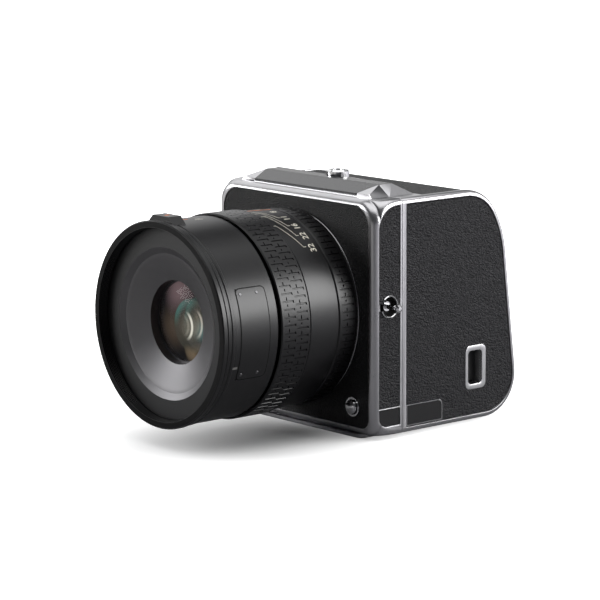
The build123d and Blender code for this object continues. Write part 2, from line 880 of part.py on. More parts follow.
# Door and its hinge: places shared by the shell, the door and the pins
door_inset = door_rebate + door_gap
door_inner_x = skin_floor - door_thickness
seat_x = half_width - door_seat_depth
ledge_x = seat_x - ledge_thickness
hinge_x = skin_floor - door_thickness / 2
hinge_y = deep(hinge_depth)
door_foot_z = box_floor + door_inset
door_top_z = box_top - door_inset
door_tall = door_top_z - door_foot_z

# Port opening and its cover on the other side
port_front_y = deep(port_depth) - port_length / 2
port_hinge_y = port_front_y + port_hinge_inset
port_cover_x = -skin_face
port_hinge_x = port_cover_x + port_pin_inset
port_foot_z = high(port_height) - port_tall / 2
port_top_z = high(port_height) + port_tall / 2


def port_outline(x, margin):
    """Rounded outline of the port opening, grown by margin, at x."""
    with BuildSketch(beside(x), mode=Mode.PRIVATE) as outline:
        with Locations((deep(port_depth), high(port_height))):
            RectangleRounded(port_length + margin + margin, port_tall + margin + margin, port_corner)
    return outline.sketch


def upright_rod(x, y, low, top, radius):
    """Round upright rod between two heights, in the part that is open."""
    with Locations((x, y, (low + top) / 2)):
        Cylinder(radius, top - low)


# Latch knob places
knob_y = deep(knob_depth)
knob_top_z = box_top + knob_top_rise
latch_bar_top = box_top - wall - knob_gap


def knob_way(z, radius):
    """Stadium along X that the knob needs, at height z."""
    with BuildSketch(Plane.XY.offset(z), mode=Mode.PRIVATE) as way:
        with Locations((knob_travel / 2, knob_y)):
            SlotCenterToCenter(knob_travel, radius + radius)
    return way.sketch


# Rear pieces: places on the leaning rear
pivot_up = -hinge_setback
module_back = screen_gap - screen_seat
module_front = module_back + screen_thickness
bezel_top = -screen_tall - screen_gap
bezel_mid = bezel_top - bezel_tall / 2
ear_x = screen_width / 2 + ear_gap


def ear_root(side, top, mode):
    """Foot of a screen ear, from its pocket in the leaning rear out to top, in the open part."""
    middle = rear_place(side * (ear_x + ear_thickness / 2), pivot_up, (top - ear_root_depth) / 2)
    with Locations(Plane(origin=middle, x_dir=(1, 0, 0), z_dir=rear_up)):
        Box(ear_thickness, top + ear_root_depth, ear_radius + ear_radius, mode=mode)


def rear_rectangle(up_mid, out, width, tall, corner):
    """Rounded rectangle on the leaning rear, centred across the width."""
    with BuildSketch(rear_plane(up_mid, out), mode=Mode.PRIVATE) as outline:
        RectangleRounded(width, tall, corner)
    return outline.sketch


# Shell of the digital back
with BuildPart() as back_shell:
    extrude(lay(back_outline(), -half_width), amount=body_width)
    side_faces = back_shell.faces().sort_by(Axis.X)
    side_edges = side_faces[0].edges() + side_faces[-1].edges()
    fillet([edge for edge in side_edges if edge.center().Y > seam_y + skin], back_edge_round)
    # Rib on top with its ramps
    with BuildSketch(facing(seam_y)):
        shape(*ridge_corners)
    extrude(amount=body_depth - ramp_back_depth)
    with BuildSketch(beside(-half_width)):
        shape((deep(ridge_back_depth), ridge_top_z), (deep(ramp_back_depth), box_top),
              (deep(ramp_back_depth), ridge_top_z + wall), (deep(ridge_back_depth), ridge_top_z + wall))
    extrude(amount=body_width, mode=Mode.SUBTRACT)
    with BuildSketch(beside(-ridge_half_width)):
        shape(*block((deep(ridge_back_depth), box_top), (deep(ramp_back_depth), ridge_top_z + wall)))
    extrude(amount=ridge_half_width + ridge_half_width, mode=Mode.SUBTRACT)
    # Hollow, ledge and rebate of the door
    extrude(lay(back_outline(wall), wall - half_width), amount=ledge_x + half_width - wall,
            mode=Mode.SUBTRACT)
    extrude(lay(back_outline(door_rebate + ledge), ledge_x), amount=ledge_thickness, mode=Mode.SUBTRACT)
    extrude(lay(back_outline(door_rebate), seat_x), amount=door_seat_depth, mode=Mode.SUBTRACT)
    with Locations((hinge_x, hinge_y, centre_z)):
        Cylinder(door_relief_radius, door_tall + door_gap + door_gap, mode=Mode.SUBTRACT)
        Cylinder(hinge_pin_radius, door_tall + hinge_pin_hold + hinge_pin_hold, mode=Mode.SUBTRACT)
    # Sensor window and the hole over the tripod bush
    with BuildSketch(facing(seam_y)):
        with Locations((0, lens_axis_height)):
            RectangleRounded(window_half_width + window_half_width,
                             window_half_height + window_half_height, window_corner)
    extrude(amount=-wall, mode=Mode.SUBTRACT)
    with BuildSketch(Plane.XY.offset(box_floor)):
        Circle(bush_radius + bush_clearance)
    extrude(amount=wall, mode=Mode.SUBTRACT)
    # Recesses of the rib plate and the coverings
    with BuildSketch(Plane.XY.offset(ridge_top_z - plate_thickness)):
        shape(*block((-ridge_half_width, seam_y), (ridge_half_width, deep(ridge_back_depth) - rib_lip)))
    extrude(amount=plate_thickness, mode=Mode.SUBTRACT)
    extrude(lay(top_band(0, skin_recess, top_skin_start_depth, top_skin_end_height), -ridge_half_width),
            amount=ridge_half_width + ridge_half_width, mode=Mode.SUBTRACT)
    extrude(lay(top_band(0, skin_recess, top_skin_wide_depth, top_skin_end_height), -top_skin_half_width),
            amount=top_skin_half_width + top_skin_half_width, mode=Mode.SUBTRACT)
    extrude(lay(back_outline(side_back_skin_margin), -half_width), amount=skin_recess, mode=Mode.SUBTRACT)
    # Ways of the latch knob's head and neck
    extrude(knob_way(box_top - skin_recess, knob_head_radius + knob_gap), amount=ridge_rise + wall,
            mode=Mode.SUBTRACT)
    extrude(knob_way(box_top - wall, knob_neck_radius + knob_gap), amount=wall, mode=Mode.SUBTRACT)
    # Port opening with the relief and pin holes of its cover
    extrude(port_outline(-half_width, port_gap), amount=wall, mode=Mode.SUBTRACT)
    with Locations((port_hinge_x, port_hinge_y, high(port_height))):
        Cylinder(port_relief_radius, port_tall + port_gap + port_gap, mode=Mode.SUBTRACT)
        Cylinder(port_pin_radius, port_tall + port_pin_hold + port_pin_hold, mode=Mode.SUBTRACT)
    # Seats of the screen and of the button strip below it
    extrude(rear_rectangle(-screen_tall / 2, wall, screen_width + screen_gap + screen_gap,
                           screen_tall + screen_gap + screen_gap, screen_corner), amount=-screen_seat - wall,
            mode=Mode.SUBTRACT)
    extrude(rear_rectangle(bezel_mid, wall, screen_width, bezel_tall, bezel_round),
            amount=-bezel_deep - wall, mode=Mode.SUBTRACT)
    for side in (1, -1):
        ear_root(side, wall, Mode.SUBTRACT)
finish(back_shell, "back_shell")

# Dark plate on the rib, notched for the latch knob
with BuildPart() as back_rib:
    with BuildSketch(Plane.XY.offset(ridge_top_z - plate_thickness)):
        shape(*block((-ridge_half_width, seam_y + rib_gap),
                     (ridge_half_width, deep(ridge_back_depth) - rib_lip)))
    extrude(amount=plate_thickness)
    extrude(knob_way(box_top, knob_head_radius + knob_gap), amount=ridge_rise, mode=Mode.SUBTRACT)
finish(back_rib, "back_rib")

# Coverings of the back: the top, and the side away from the door
with BuildPart() as back_leathers:
    extrude(lay(top_band(skin_sink, skin_recess, top_skin_start_depth + skin_clearance,
                         top_skin_end_height + skin_clearance), skin_clearance - ridge_half_width),
            amount=ridge_half_width + ridge_half_width - skin_clearance - skin_clearance)
    extrude(lay(top_band(skin_sink, skin_recess, top_skin_wide_depth + skin_clearance,
                         top_skin_end_height + skin_clearance), skin_clearance - top_skin_half_width),
            amount=top_skin_half_width + top_skin_half_width - skin_clearance - skin_clearance)
    extrude(knob_way(box_top - wall, knob_head_radius + knob_gap), amount=wall, mode=Mode.SUBTRACT)
    extrude(lay(back_outline(side_back_skin_margin + skin_clearance), -skin_face), amount=skin)
    extrude(port_outline(-half_width, port_gap), amount=wall, mode=Mode.SUBTRACT)
    with Locations((port_hinge_x, port_hinge_y, high(port_height))):
        Cylinder(port_relief_radius, port_tall + port_gap + port_gap, mode=Mode.SUBTRACT)
finish(back_leathers, "back_leathers")

# Latch knob: dished head, neck and the bar inside that holds the back to the body
with BuildPart() as latch_knob:
    with BuildSketch(Plane.XY.offset(knob_top_z - knob_head_thickness)):
        with Locations((0, knob_y)):
            Circle(knob_head_radius)
    extrude(amount=knob_head_thickness)
    chamfer(latch_knob.faces().sort_by(Axis.Z)[-1].edges(), head_round)
    with BuildSketch(Plane.XY.offset(knob_top_z)):
        with Locations((0, knob_y)):
            Circle(knob_dish_radius)
    extrude(amount=-knob_dish_depth, mode=Mode.SUBTRACT)
    with BuildSketch(Plane.XY.offset(latch_bar_top)):
        with Locations((0, knob_y)):
            Circle(knob_neck_radius)
    extrude(amount=knob_top_z - knob_head_thickness - latch_bar_top)
    with BuildSketch(Plane.XY.offset(latch_bar_top)):
        with Locations((0, knob_y)):
            RectangleRounded(latch_bar_length, latch_bar_width, head_round)
    extrude(amount=-latch_bar_thickness)
finish(latch_knob, "latch_knob")

# Sensor with its cover glass in the window
with BuildPart() as sensor_unit:
    with BuildSketch(facing(seam_y + wall)):
        with Locations((0, lens_axis_height)):
            Rectangle(sensor_half_width + sensor_half_width, sensor_half_height + sensor_half_height)
    extrude(amount=-sensor_thickness)
    with BuildSketch(facing(seam_y + wall)):
        with Locations((0, lens_axis_height)):
            Rectangle(sensor_glass_half_width + sensor_glass_half_width,
                      sensor_glass_half_height + sensor_glass_half_height)
    extrude(amount=sensor_glass_proud)
finish(sensor_unit, "sensor_unit")

# Main board on four posts, with its chips
board_y = seam_y + wall + sensor_thickness + board_gap
with BuildPart() as main_board:
    with BuildSketch(facing(board_y)):
        with Locations((0, lens_axis_height)):
            Rectangle(board_half_width + board_half_width, board_half_height + board_half_height)
    extrude(amount=-board_thickness)
    with BuildSketch(facing(board_y)):
        with Locations((0, lens_axis_height)):
            with GridLocations(board_half_width + board_half_width - post_inset - post_inset,
                               board_half_height + board_half_height - post_inset - post_inset, 2, 2):
                Circle(post_radius)
    extrude(amount=board_y - seam_y - wall)
    with BuildSketch(facing(board_y + board_thickness)):
        with Locations((0, lens_axis_height + chip_size)):
            with GridLocations(chip_size + chip_size, chip_size + board_thickness, 3, 2):
                Rectangle(chip_size, chip_size)
    extrude(amount=-chip_thickness)
finish(main_board, "main_board")

# Battery bay on its feet, open to the door, and the battery in it
bay_mouth_x = ledge_x - bay_mouth_gap
bay_back_x = bay_mouth_x - battery_length
bay_low_y = deep(battery_depth) - battery_width / 2
bay_low_z = box_floor + wall + bay_foot + bay_wall + bay_clearance
bay_far_y = bay_low_y + battery_width
bay_far_z = bay_low_z + battery_height
bay_grow = bay_wall + bay_clearance
foot_front_x = bay_mouth_x - battery_width / 2
foot_back_x = min(bay_back_x + battery_width / 2, -bush_radius - bush_clearance - bay_foot / 2)
with BuildPart() as battery_bay:
    with BuildSketch(beside(bay_back_x - bay_grow)):
        shape(*block((bay_low_y - bay_grow, bay_low_z - bay_grow),
                     (bay_far_y + bay_grow, bay_far_z + bay_grow)))
    extrude(amount=battery_length + bay_grow)
    with BuildSketch(beside(bay_back_x - bay_clearance)):
        shape(*block((bay_low_y - bay_clearance, bay_low_z - bay_clearance),
                     (bay_far_y + bay_clearance, bay_far_z + bay_clearance)))
    extrude(amount=battery_length + bay_grow, mode=Mode.SUBTRACT)
    with BuildSketch(Plane.XY.offset(box_floor + wall)):
        with Locations((foot_back_x, bay_low_y), (foot_back_x, bay_far_y),
                       (foot_front_x, bay_low_y), (foot_front_x, bay_far_y)):
            Rectangle(bay_foot, bay_foot)
    extrude(amount=bay_foot)
finish(battery_bay, "battery_bay")

with BuildPart() as battery:
    with BuildSketch(beside(bay_back_x)):
        with Locations(((bay_low_y + bay_far_y) / 2, (bay_low_z + bay_far_z) / 2)):
            RectangleRounded(battery_width, battery_height, battery_round)
    extrude(amount=battery_length - bay_wall)
    with BuildSketch(Plane.XY.offset(bay_low_z - bay_clearance)):
        with Locations(((bay_back_x + bay_mouth_x) / 2, (bay_low_y + bay_far_y) / 2)):
            with GridLocations(battery_length / 2, 0, 2, 1):
                Rectangle(battery_round, battery_width / 2)
    extrude(amount=bay_clearance)
finish(battery, "battery")

# Card slot on top of the bay
card_low_z = bay_far_z + bay_grow
with BuildPart() as card_slot:
    with BuildSketch(beside(bay_mouth_x - card_slot_length)):
        shape(*block((bay_low_y - bay_grow, card_low_z),
                     (bay_low_y - bay_grow + card_slot_width, card_low_z + card_slot_thickness)))
    extrude(amount=card_slot_length)
    with BuildSketch(beside(bay_mouth_x)):
        with Locations((bay_low_y - bay_grow + card_slot_width / 2, card_low_z + card_slot_thickness / 2)):
            Rectangle(card_mouth_length, card_mouth_height)
    extrude(amount=-card_mouth_depth, mode=Mode.SUBTRACT)
finish(card_slot, "card_slot")

# Port block behind its cover: one wide socket and two round ones
port_block_x = wall - half_width
with BuildPart() as port_block:
    extrude(port_outline(port_block_x, port_gap + port_block_margin), amount=port_block_depth)
    extrude(port_outline(port_block_x, port_gap), amount=port_gap, mode=Mode.SUBTRACT)
    with BuildSketch(beside(port_block_x)):
        with Locations((deep(port_depth), high(port_height))):
            Rectangle(usb_length, usb_tall)
        with Locations((deep(port_depth), high(port_height))):
            with GridLocations(0, usb_tall + usb_tall, 1, 2):
                Circle(jack_radius)
    extrude(amount=usb_hole_depth, mode=Mode.SUBTRACT)
finish(port_block, "port_block")

with BuildPart() as port_cover:
    extrude(port_outline(port_cover_x, 0), amount=port_cover_thickness)
    with Locations((port_hinge_x, port_hinge_y, high(port_height))):
        Cylinder(port_pin_radius + run_fit, port_tall, mode=Mode.SUBTRACT)
finish(port_cover, "port_cover")

# Hinge pins of the door and of the port cover
with BuildPart() as hinge_pins:
    upright_rod(hinge_x, hinge_y, door_foot_z - hinge_pin_hold, door_top_z + hinge_pin_hold,
                hinge_pin_radius)
    upright_rod(port_hinge_x, port_hinge_y, port_foot_z - port_pin_hold, port_top_z + port_pin_hold,
                port_pin_radius)
finish(hinge_pins, "hinge_pins")


# Finger recess in the door
def recess_outline(x, margin):
    """Outer outline of the finger recess, grown by margin, at x."""
    with BuildSketch(beside(x), mode=Mode.PRIVATE) as outline:
        shape(*side_block(recess_front_depth, recess_back_depth, recess_foot, recess_top, margin))
        fillet(outline.vertices(), recess_corner)
    return outline.sketch


slider_top_x = ledge_x - slider_gap
slider_back_x = slider_top_x - slider_thickness
recess_floor_x = slider_back_x - slider_gap
recess_inner_front = recess_front_depth + recess_rim
recess_inner_back = recess_back_depth - recess_back_rim
recess_inner_foot = recess_foot + recess_back_rim
recess_inner_top = recess_top - recess_back_rim


def back_tag_outline(margin):
    """Side outline of the tag plate at the foot of the door, grown by margin."""
    with BuildSketch(mode=Mode.PRIVATE) as outline:
        add(back_outline(door_inset + tag_border - margin))
        Polygon(*block((seam_y, box_floor), (seam_y + door_inset + tag_back_length + margin,
                                             high(tag_back_top) + margin)), align=None, mode=Mode.INTERSECT)
        corner = (seam_y + door_inset + tag_back_length, high(tag_back_top), 0)
        fillet(outline.vertices().sort_by_distance(corner)[0], tag_back_corner)
    return outline.sketch


with BuildPart() as side_door:
    extrude(lay(back_outline(door_inset), door_inner_x), amount=door_thickness)
    with Locations((hinge_x, hinge_y, centre_z)):
        Cylinder(hinge_pin_radius + run_fit, box_height, mode=Mode.SUBTRACT)
    extrude(recess_outline(door_inner_x, 0), amount=door_thickness, mode=Mode.SUBTRACT)
    # Thin raised border of the tag plate
    extrude(lay(back_tag_outline(tag_border), skin_floor), amount=skin)
    extrude(lay(back_tag_outline(0), skin_floor), amount=skin, mode=Mode.SUBTRACT)
finish(side_door, "side_door")

with BuildPart() as door_leather:
    extrude(lay(back_outline(door_inset + skin_clearance), skin_floor), amount=skin)
    extrude(recess_outline(skin_floor, skin_clearance), amount=skin, mode=Mode.SUBTRACT)
    extrude(lay(back_tag_outline(tag_border + skin_clearance), skin_floor), amount=skin,
            mode=Mode.SUBTRACT)
finish(door_leather, "door_leather")

with BuildPart() as back_tag_plate:
    extrude(lay(back_tag_outline(-skin_clearance), skin_floor), amount=skin)
finish(back_tag_plate, "back_tag_plate")

with BuildPart() as recess_ring:
    extrude(recess_outline(recess_floor_x - recess_wall, 0),
            amount=half_width - recess_floor_x + recess_wall)
    with BuildSketch(beside(recess_floor_x)):
        shape(*side_block(recess_inner_front, recess_back_depth, recess_inner_foot, recess_inner_top))
    extrude(amount=ledge_x - recess_floor_x, mode=Mode.SUBTRACT)
    with BuildSketch(beside(ledge_x)) as recess_mouth:
        shape(*side_block(recess_inner_front, recess_inner_back, recess_inner_foot, recess_inner_top))
        fillet(recess_mouth.vertices(), recess_inner_corner)
    extrude(amount=half_width - ledge_x, mode=Mode.SUBTRACT)
finish(recess_ring, "recess_ring")

# Slide in the recess, with the tongue that tucks behind the shell's ledge
tongue_mid_z = (high(recess_foot) + high(recess_top)) / 2
tongue_top_rise = tongue_mid_z + tongue_width / 2 - box_floor
tongue_tip_y = rear_foot_y - tongue_top_rise * tan(radians(rear_lean)) - wall / cos(radians(rear_lean))
tongue_tip_y = tongue_tip_y - slider_gap - slider_travel
with BuildPart() as door_latch_slider:
    with BuildSketch(beside(slider_back_x)):
        shape(*side_block(recess_inner_front, recess_back_depth, recess_inner_foot, recess_inner_top,
                          -slider_gap))
        shape(*block((deep(recess_inner_front) + slider_gap, tongue_mid_z - tongue_width / 2),
                     (tongue_tip_y, tongue_mid_z + tongue_width / 2)))
    extrude(amount=slider_thickness)
finish(door_latch_slider, "door_latch_slider")

# Tilting screen on two ears
pivot_place = rear_place(0, pivot_up, hinge_lift)


def pivot_rod(x, length, radius, mode):
    """Rod along X about the screen's pivot, centred at x."""
    with Locations(Plane(origin=(x, pivot_place[1], pivot_place[2]), x_dir=(0, 1, 0), z_dir=(1, 0, 0))):
        Cylinder(radius, length, mode=mode)


with BuildPart() as screen_frame:
    with BuildSketch(rear_plane(-screen_tall / 2, module_back)):
        Rectangle(screen_width, screen_tall)
    extrude(amount=screen_thickness)
    back_face = screen_frame.faces().sort_by(Axis(rear_place(0, 0, 0), rear_out))[0]
    fillet(back_face.edges().sort_by(Axis(rear_place(0, 0, 0), rear_up))[-1], screen_back_round)
    fillet(screen_frame.edges().filter_by(Axis(rear_place(0, 0, 0), rear_out)), screen_corner)
    front_face = screen_frame.faces().sort_by(Axis(rear_place(0, 0, 0), rear_out))[-1]
    chamfer(front_face.edges(), screen_edge)
    extrude(rear_rectangle(-screen_tall / 2, module_front, screen_width - glass_margin - glass_margin,
                           screen_tall - glass_margin - glass_margin, screen_corner), amount=-glass_thickness,
            mode=Mode.SUBTRACT)
    for side in (1, -1):
        pivot_rod(side * screen_width / 2, screen_pin_length + screen_pin_length,
                  screen_pin_radius + run_fit, Mode.SUBTRACT)
finish(screen_frame, "screen_frame")

with BuildPart() as screen_glass:
    extrude(rear_rectangle(-screen_tall / 2, module_front, screen_width - glass_margin - glass_margin,
                           screen_tall - glass_margin - glass_margin, screen_corner), amount=-glass_thickness)
finish(screen_glass, "screen_glass")

with BuildPart() as screen_hinge_bracket:
    for side in (1, -1):
        pivot_rod(side * (ear_x + ear_thickness / 2), ear_thickness, ear_radius, Mode.ADD)
        ear_root(side, hinge_lift, Mode.ADD)
        pin_length = ear_thickness + screen_pin_length
        pivot_rod(side * (ear_x + ear_thickness - pin_length / 2), pin_length, screen_pin_radius, Mode.ADD)
finish(screen_hinge_bracket, "screen_hinge_bracket")

# Strip with five push buttons below the screen
first_button_x = -rear_button_pitch * (rear_button_count - 1) / 2
button_places = [first_button_x + rear_button_pitch * place for place in range(rear_button_count)]


def button_outline(x, out, grow):
    """Rounded outline of a rear button, centred at x, grown by grow."""
    plane = Plane(origin=rear_place(x, bezel_mid, out), x_dir=(-1, 0, 0), z_dir=rear_out)
    with BuildSketch(plane, mode=Mode.PRIVATE) as outline:
        RectangleRounded(rear_button_width + grow + grow, rear_button_tall + grow + grow, rear_button_corner)
    return outline.sketch


with BuildPart() as rear_bezel:
    extrude(rear_rectangle(bezel_mid, -bezel_deep, screen_width, bezel_tall, bezel_round), amount=bezel_deep)
    extrude(rear_rectangle(bezel_mid, 0, screen_width, bezel_tall, bezel_round), amount=bezel_proud)
    bezel_face = rear_bezel.faces().sort_by(Axis(rear_place(0, 0, 0), rear_out))[-1]
    chamfer(bezel_face.edges(), head_round)
    for place in button_places:
        extrude(button_outline(place, bezel_proud, rear_button_gap), amount=-rear_button_well,
                mode=Mode.SUBTRACT)
finish(rear_bezel, "rear_bezel")

button_back = bezel_proud - rear_button_well + rear_button_travel + rear_button_gap
for number, place in enumerate(button_places):
    with BuildPart() as rear_button:
        extrude(button_outline(place, button_back, 0), amount=bezel_proud + rear_button_proud - button_back)
    finish(rear_button, "rear_button_" + str(number + 1))


# Lens: turned pieces on one axis
def turned(*section):
    """Turn a closed section of (reach, radius) corners about the lens axis."""
    with BuildSketch(lens_section(), mode=Mode.PRIVATE) as outline:
        shape(*section)
    revolve(outline.sketch, axis=lens_axis)


def glass(middle, radius, thickness, bulge_front, bulge_back):
    """Turned glass with a round front and back, about the lens axis."""
    front = middle + thickness / 2
    back = middle - thickness / 2
    corners = []
    for share in glass_shares:
        corners.append((back - bulge_back * (1 - share * share), radius * share))
    for share in glass_shares[::-1]:
        corners.append((front + bulge_front * (1 - share * share), radius * share))
    turned(*corners)


glass_shares = (0, 0.25, 0.5, 0.75, 1.0)

# Rear mount of the lens: tube, flange and tabs behind the claws of the mount ring
with BuildPart() as lens_bayonet:
    turned((-lens_tube_back, lens_tube_bore), (-lens_tube_back, lens_tube_radius),
           (mount_proud, lens_tube_radius), (mount_proud, core_radius),
           (mount_proud + lens_flange_thickness, core_radius),
           (mount_proud + lens_flange_thickness, rear_glass_radius),
           (mount_proud, rear_glass_radius), (mount_proud, lens_tube_bore))
    for tab in range(claw_count):
        with BuildSketch(lens_section(360 * tab / claw_count)):
            shape(*block((-lens_tube_back, lens_tube_bore + lens_flange_thickness),
                         (-lens_tube_back + lens_tab_thickness, lens_tab_radius)))
        revolve(axis=lens_axis, revolution_arc=claw_arc)
    with BuildSketch(facing(front_y)):
        with Locations(lock_place):
            Circle(lock_pin_radius + run_fit)
    extrude(amount=mount_proud + lens_flange_thickness, mode=Mode.SUBTRACT)
finish(lens_bayonet, "lens_bayonet")

# Core tube of the lens with its shelves and the guide of the focusing glass
core_back = mount_proud + lens_flange_thickness
middle_holder_radius = middle_glass_radius + middle_holder_wall
with BuildPart() as lens_core:
    turned(*block((core_back, core_bore), (core_front, core_radius)))
    turned(*block((iris_reach - shelf_thickness, iris_radius), (iris_reach, core_bore + run_fit)))
    turned(*block((guide_back, guide_radius), (guide_front, guide_radius + guide_wall)))
    turned(*block((guide_front - shelf_thickness, guide_radius + guide_wall / 2),
                  (guide_front, core_bore + run_fit)))
    turned(*block((middle_glass_reach - middle_glass_thickness / 2, middle_glass_radius),
                  (middle_glass_reach + middle_glass_thickness / 2, middle_holder_radius)))
    turned(*block((middle_shelf_reach, middle_holder_radius - run_fit),
                  (middle_shelf_reach + shelf_thickness, core_bore + run_fit)))
finish(lens_core, "lens_core")

# Rings around the core, from the mount forwards
control_back = mount_proud + control_gap
with BuildPart() as control_ring:
    turned((control_back, core_radius + run_fit), (control_back, control_radius - ring_edge),
           (control_back + ring_edge, control_radius), (control_front - ring_edge, control_radius),
           (control_front, control_radius - ring_edge), (control_front, core_radius + run_fit))
finish(control_ring, "control_ring")

with BuildPart() as scale_ring:
    turned((control_front + ring_gap, core_radius), (control_front + ring_gap, control_radius),
           (scale_front - ring_edge, scale_front_radius), (scale_front, scale_front_radius - ring_edge),
           (scale_front, core_radius))
finish(scale_ring, "scale_ring")

focus_back = scale_front + ring_gap
focus_front = focus_back + focus_length
lip_back = focus_front - focus_lip_length
lip_bore = focus_radius - focus_lip_wall


def keys(grow):
    """Outline of the keys between sleeve and ring, grown by grow, across the lens axis."""
    with BuildSketch(around_lens(focus_back), mode=Mode.PRIVATE) as outline:
        with PolarLocations(sleeve_radius, key_count, key_turn):
            Rectangle(key_height + key_height + grow + grow, key_width + grow + grow)
        with Locations((0, 0)):
            Circle(sleeve_radius - key_height / 2, mode=Mode.SUBTRACT)
    return outline.sketch


with BuildPart() as focus_sleeve:
    turned(*block((focus_back, core_radius + run_fit), (focus_front + sleeve_lead, sleeve_radius)))
    extrude(keys(0), amount=lip_back - focus_back)
finish(focus_sleeve, "focus_sleeve")

with BuildPart() as focus_ring:
    turned((focus_back, sleeve_radius + run_fit), (focus_back, focus_radius - ring_edge),
           (focus_back + ring_edge, focus_radius), (focus_front - ring_edge, focus_radius),
           (focus_front, focus_radius - ring_edge), (focus_front, lip_bore), (lip_back, lip_bore),
           (lip_back, sleeve_radius + run_fit))
    extrude(keys(key_fit), amount=focus_length, mode=Mode.SUBTRACT)
finish(focus_ring, "focus_ring")

# Front barrel with two ribs, the rim, the filter thread's bore and the pad on top
name_ring_back = lens_length - thread_depth - name_ring_seat
with BuildPart() as front_barrel:
    barrel_line = [(barrel_back, core_radius), (barrel_back, barrel_radius - ring_edge),
                   (barrel_back + ring_edge, barrel_radius)]
    for front in rib_fronts[::-1]:
        barrel_line = barrel_line + [(front - rib_width, barrel_radius),
                                     (front - rib_width + rib_groove, rib_radius),
                                     (front - rib_groove, rib_radius), (front, barrel_radius)]
    turned(*barrel_line, (rim_back, barrel_radius), (rim_back, rim_radius),
           (lens_length - ring_edge, rim_radius), (lens_length, rim_radius - ring_edge),
           (lens_length, thread_radius), (lens_length - thread_depth, thread_radius),
           (lens_length - thread_depth, name_bore_radius), (name_ring_back, name_bore_radius),
           (name_ring_back, core_radius))
    with BuildSketch(around_lens(pad_back)):
        shape((-pad_half_width, barrel_radius - pad_rise), (pad_half_width, barrel_radius - pad_rise),
              (pad_half_width, barrel_radius - ring_edge), (pad_top_half_width, rim_radius + pad_rise),
              (-pad_top_half_width, rim_radius + pad_rise), (-pad_half_width, barrel_radius - ring_edge))
    extrude(amount=pad_length)
    badge_turn = badge_middle_turn + badge_half_angle
    with BuildSketch(lens_section(badge_turn)):
        shape(*block((badge_back, barrel_radius - badge_sink),
                     (badge_front, barrel_radius + badge_sink)))
    revolve(axis=lens_axis, revolution_arc=badge_half_angle + badge_half_angle, mode=Mode.SUBTRACT)
finish(front_barrel, "front_barrel")

# Plain plate on the side of the barrel, a little smaller than its recess
plate_half_angle = badge_half_angle - degrees(badge_gap / barrel_radius)
with BuildPart() as badge_plate:
    with BuildSketch(lens_section(badge_middle_turn + plate_half_angle)):
        shape(*block((badge_back + badge_gap, barrel_radius - badge_sink),
                     (badge_front - badge_gap, barrel_radius + badge_proud)))
    revolve(axis=lens_axis, revolution_arc=plate_half_angle + plate_half_angle)
    short_edges = badge_plate.edges().filter_by(GeomType.LINE).group_by(SortBy.LENGTH)[0]
    fillet(short_edges, badge_corner)
finish(badge_plate, "badge_plate")

# Front of the lens: name ring left bare, cone with the glass cell, and the front glass
with BuildPart() as name_ring:
    turned(*block((name_ring_back, name_ring_inner),
                  (name_ring_back + name_ring_thickness, name_bore_radius - name_ring_margin)))
finish(name_ring, "name_ring")

cone_foot = name_ring_back - cone_drop
glass_front = cone_foot - front_glass_drop
with BuildPart() as cone_baffle:
    turned((core_front, core_radius - name_ring_margin),
           (name_ring_back, core_radius - name_ring_margin),
           (name_ring_back, name_ring_inner), (cone_foot, cone_inner),
           (glass_front + retainer_thickness, cone_inner),
           (glass_front + retainer_thickness, retainer_radius), (glass_front, retainer_radius),
           (glass_front, cone_inner), (cone_foot - glass_cell_depth, cone_inner),
           (cone_foot - glass_cell_depth, cone_inner + cone_wall),
           (cone_foot - cone_wall, cone_inner + cone_wall), (core_front, name_ring_inner))
finish(cone_baffle, "cone_baffle")

with BuildPart() as front_glass:
    front_glass_middle = glass_front - front_glass_thickness / 2
    glass(front_glass_middle, cone_inner, front_glass_thickness, 0, 0)
    glass(front_glass_middle, retainer_radius - name_ring_margin, front_glass_thickness,
          front_glass_rise, 0)
finish(front_glass, "front_glass")

with BuildPart() as inner_glasses:
    glass(middle_glass_reach, middle_glass_radius, middle_glass_thickness, middle_glass_bulge,
          middle_glass_bulge)
    glass(rear_glass_reach, rear_glass_radius, rear_glass_thickness, 0, rear_glass_bulge)
finish(inner_glasses, "inner_glasses")

# Iris on its shelf: blades closed down to a many-sided opening
with BuildPart() as iris_blades:
    with BuildSketch(around_lens(iris_reach)):
        Circle(iris_rim)
        RegularPolygon(iris_opening, iris_blade_count, mode=Mode.SUBTRACT)
    extrude(amount=iris_thickness)
finish(iris_blades, "iris_blades")

# Focusing glass in its sliding cell
cell_middle = cell_back + cell_length / 2
with BuildPart() as focus_cell:
    turned(*block((cell_back, cell_bore), (cell_back + cell_length, guide_radius - cell_fit)))
finish(focus_cell, "focus_cell")

with BuildPart() as focus_glass:
    glass(cell_middle, cell_bore, cell_glass_thickness, cell_glass_bulge, cell_glass_bulge)
finish(focus_glass, "focus_glass")
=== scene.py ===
import math

import bpy
import numpy as np
from mathutils import Matrix, Vector


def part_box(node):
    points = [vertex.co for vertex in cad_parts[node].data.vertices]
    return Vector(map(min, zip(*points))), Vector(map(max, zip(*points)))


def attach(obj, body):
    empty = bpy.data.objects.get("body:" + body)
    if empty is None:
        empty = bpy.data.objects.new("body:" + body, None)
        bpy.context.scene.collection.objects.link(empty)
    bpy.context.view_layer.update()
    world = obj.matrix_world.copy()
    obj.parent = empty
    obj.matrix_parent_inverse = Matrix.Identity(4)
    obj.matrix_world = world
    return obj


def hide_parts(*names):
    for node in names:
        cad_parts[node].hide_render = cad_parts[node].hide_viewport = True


# Medium format camera: finishes for the frame's pieces, knurled rings, dial marks, light and view.
# Metres, +Z up, -Y the way the lens looks. A reach is counted forwards from the front covering
# along the lens axis, and a turn in degrees about that axis from +Z towards +X.

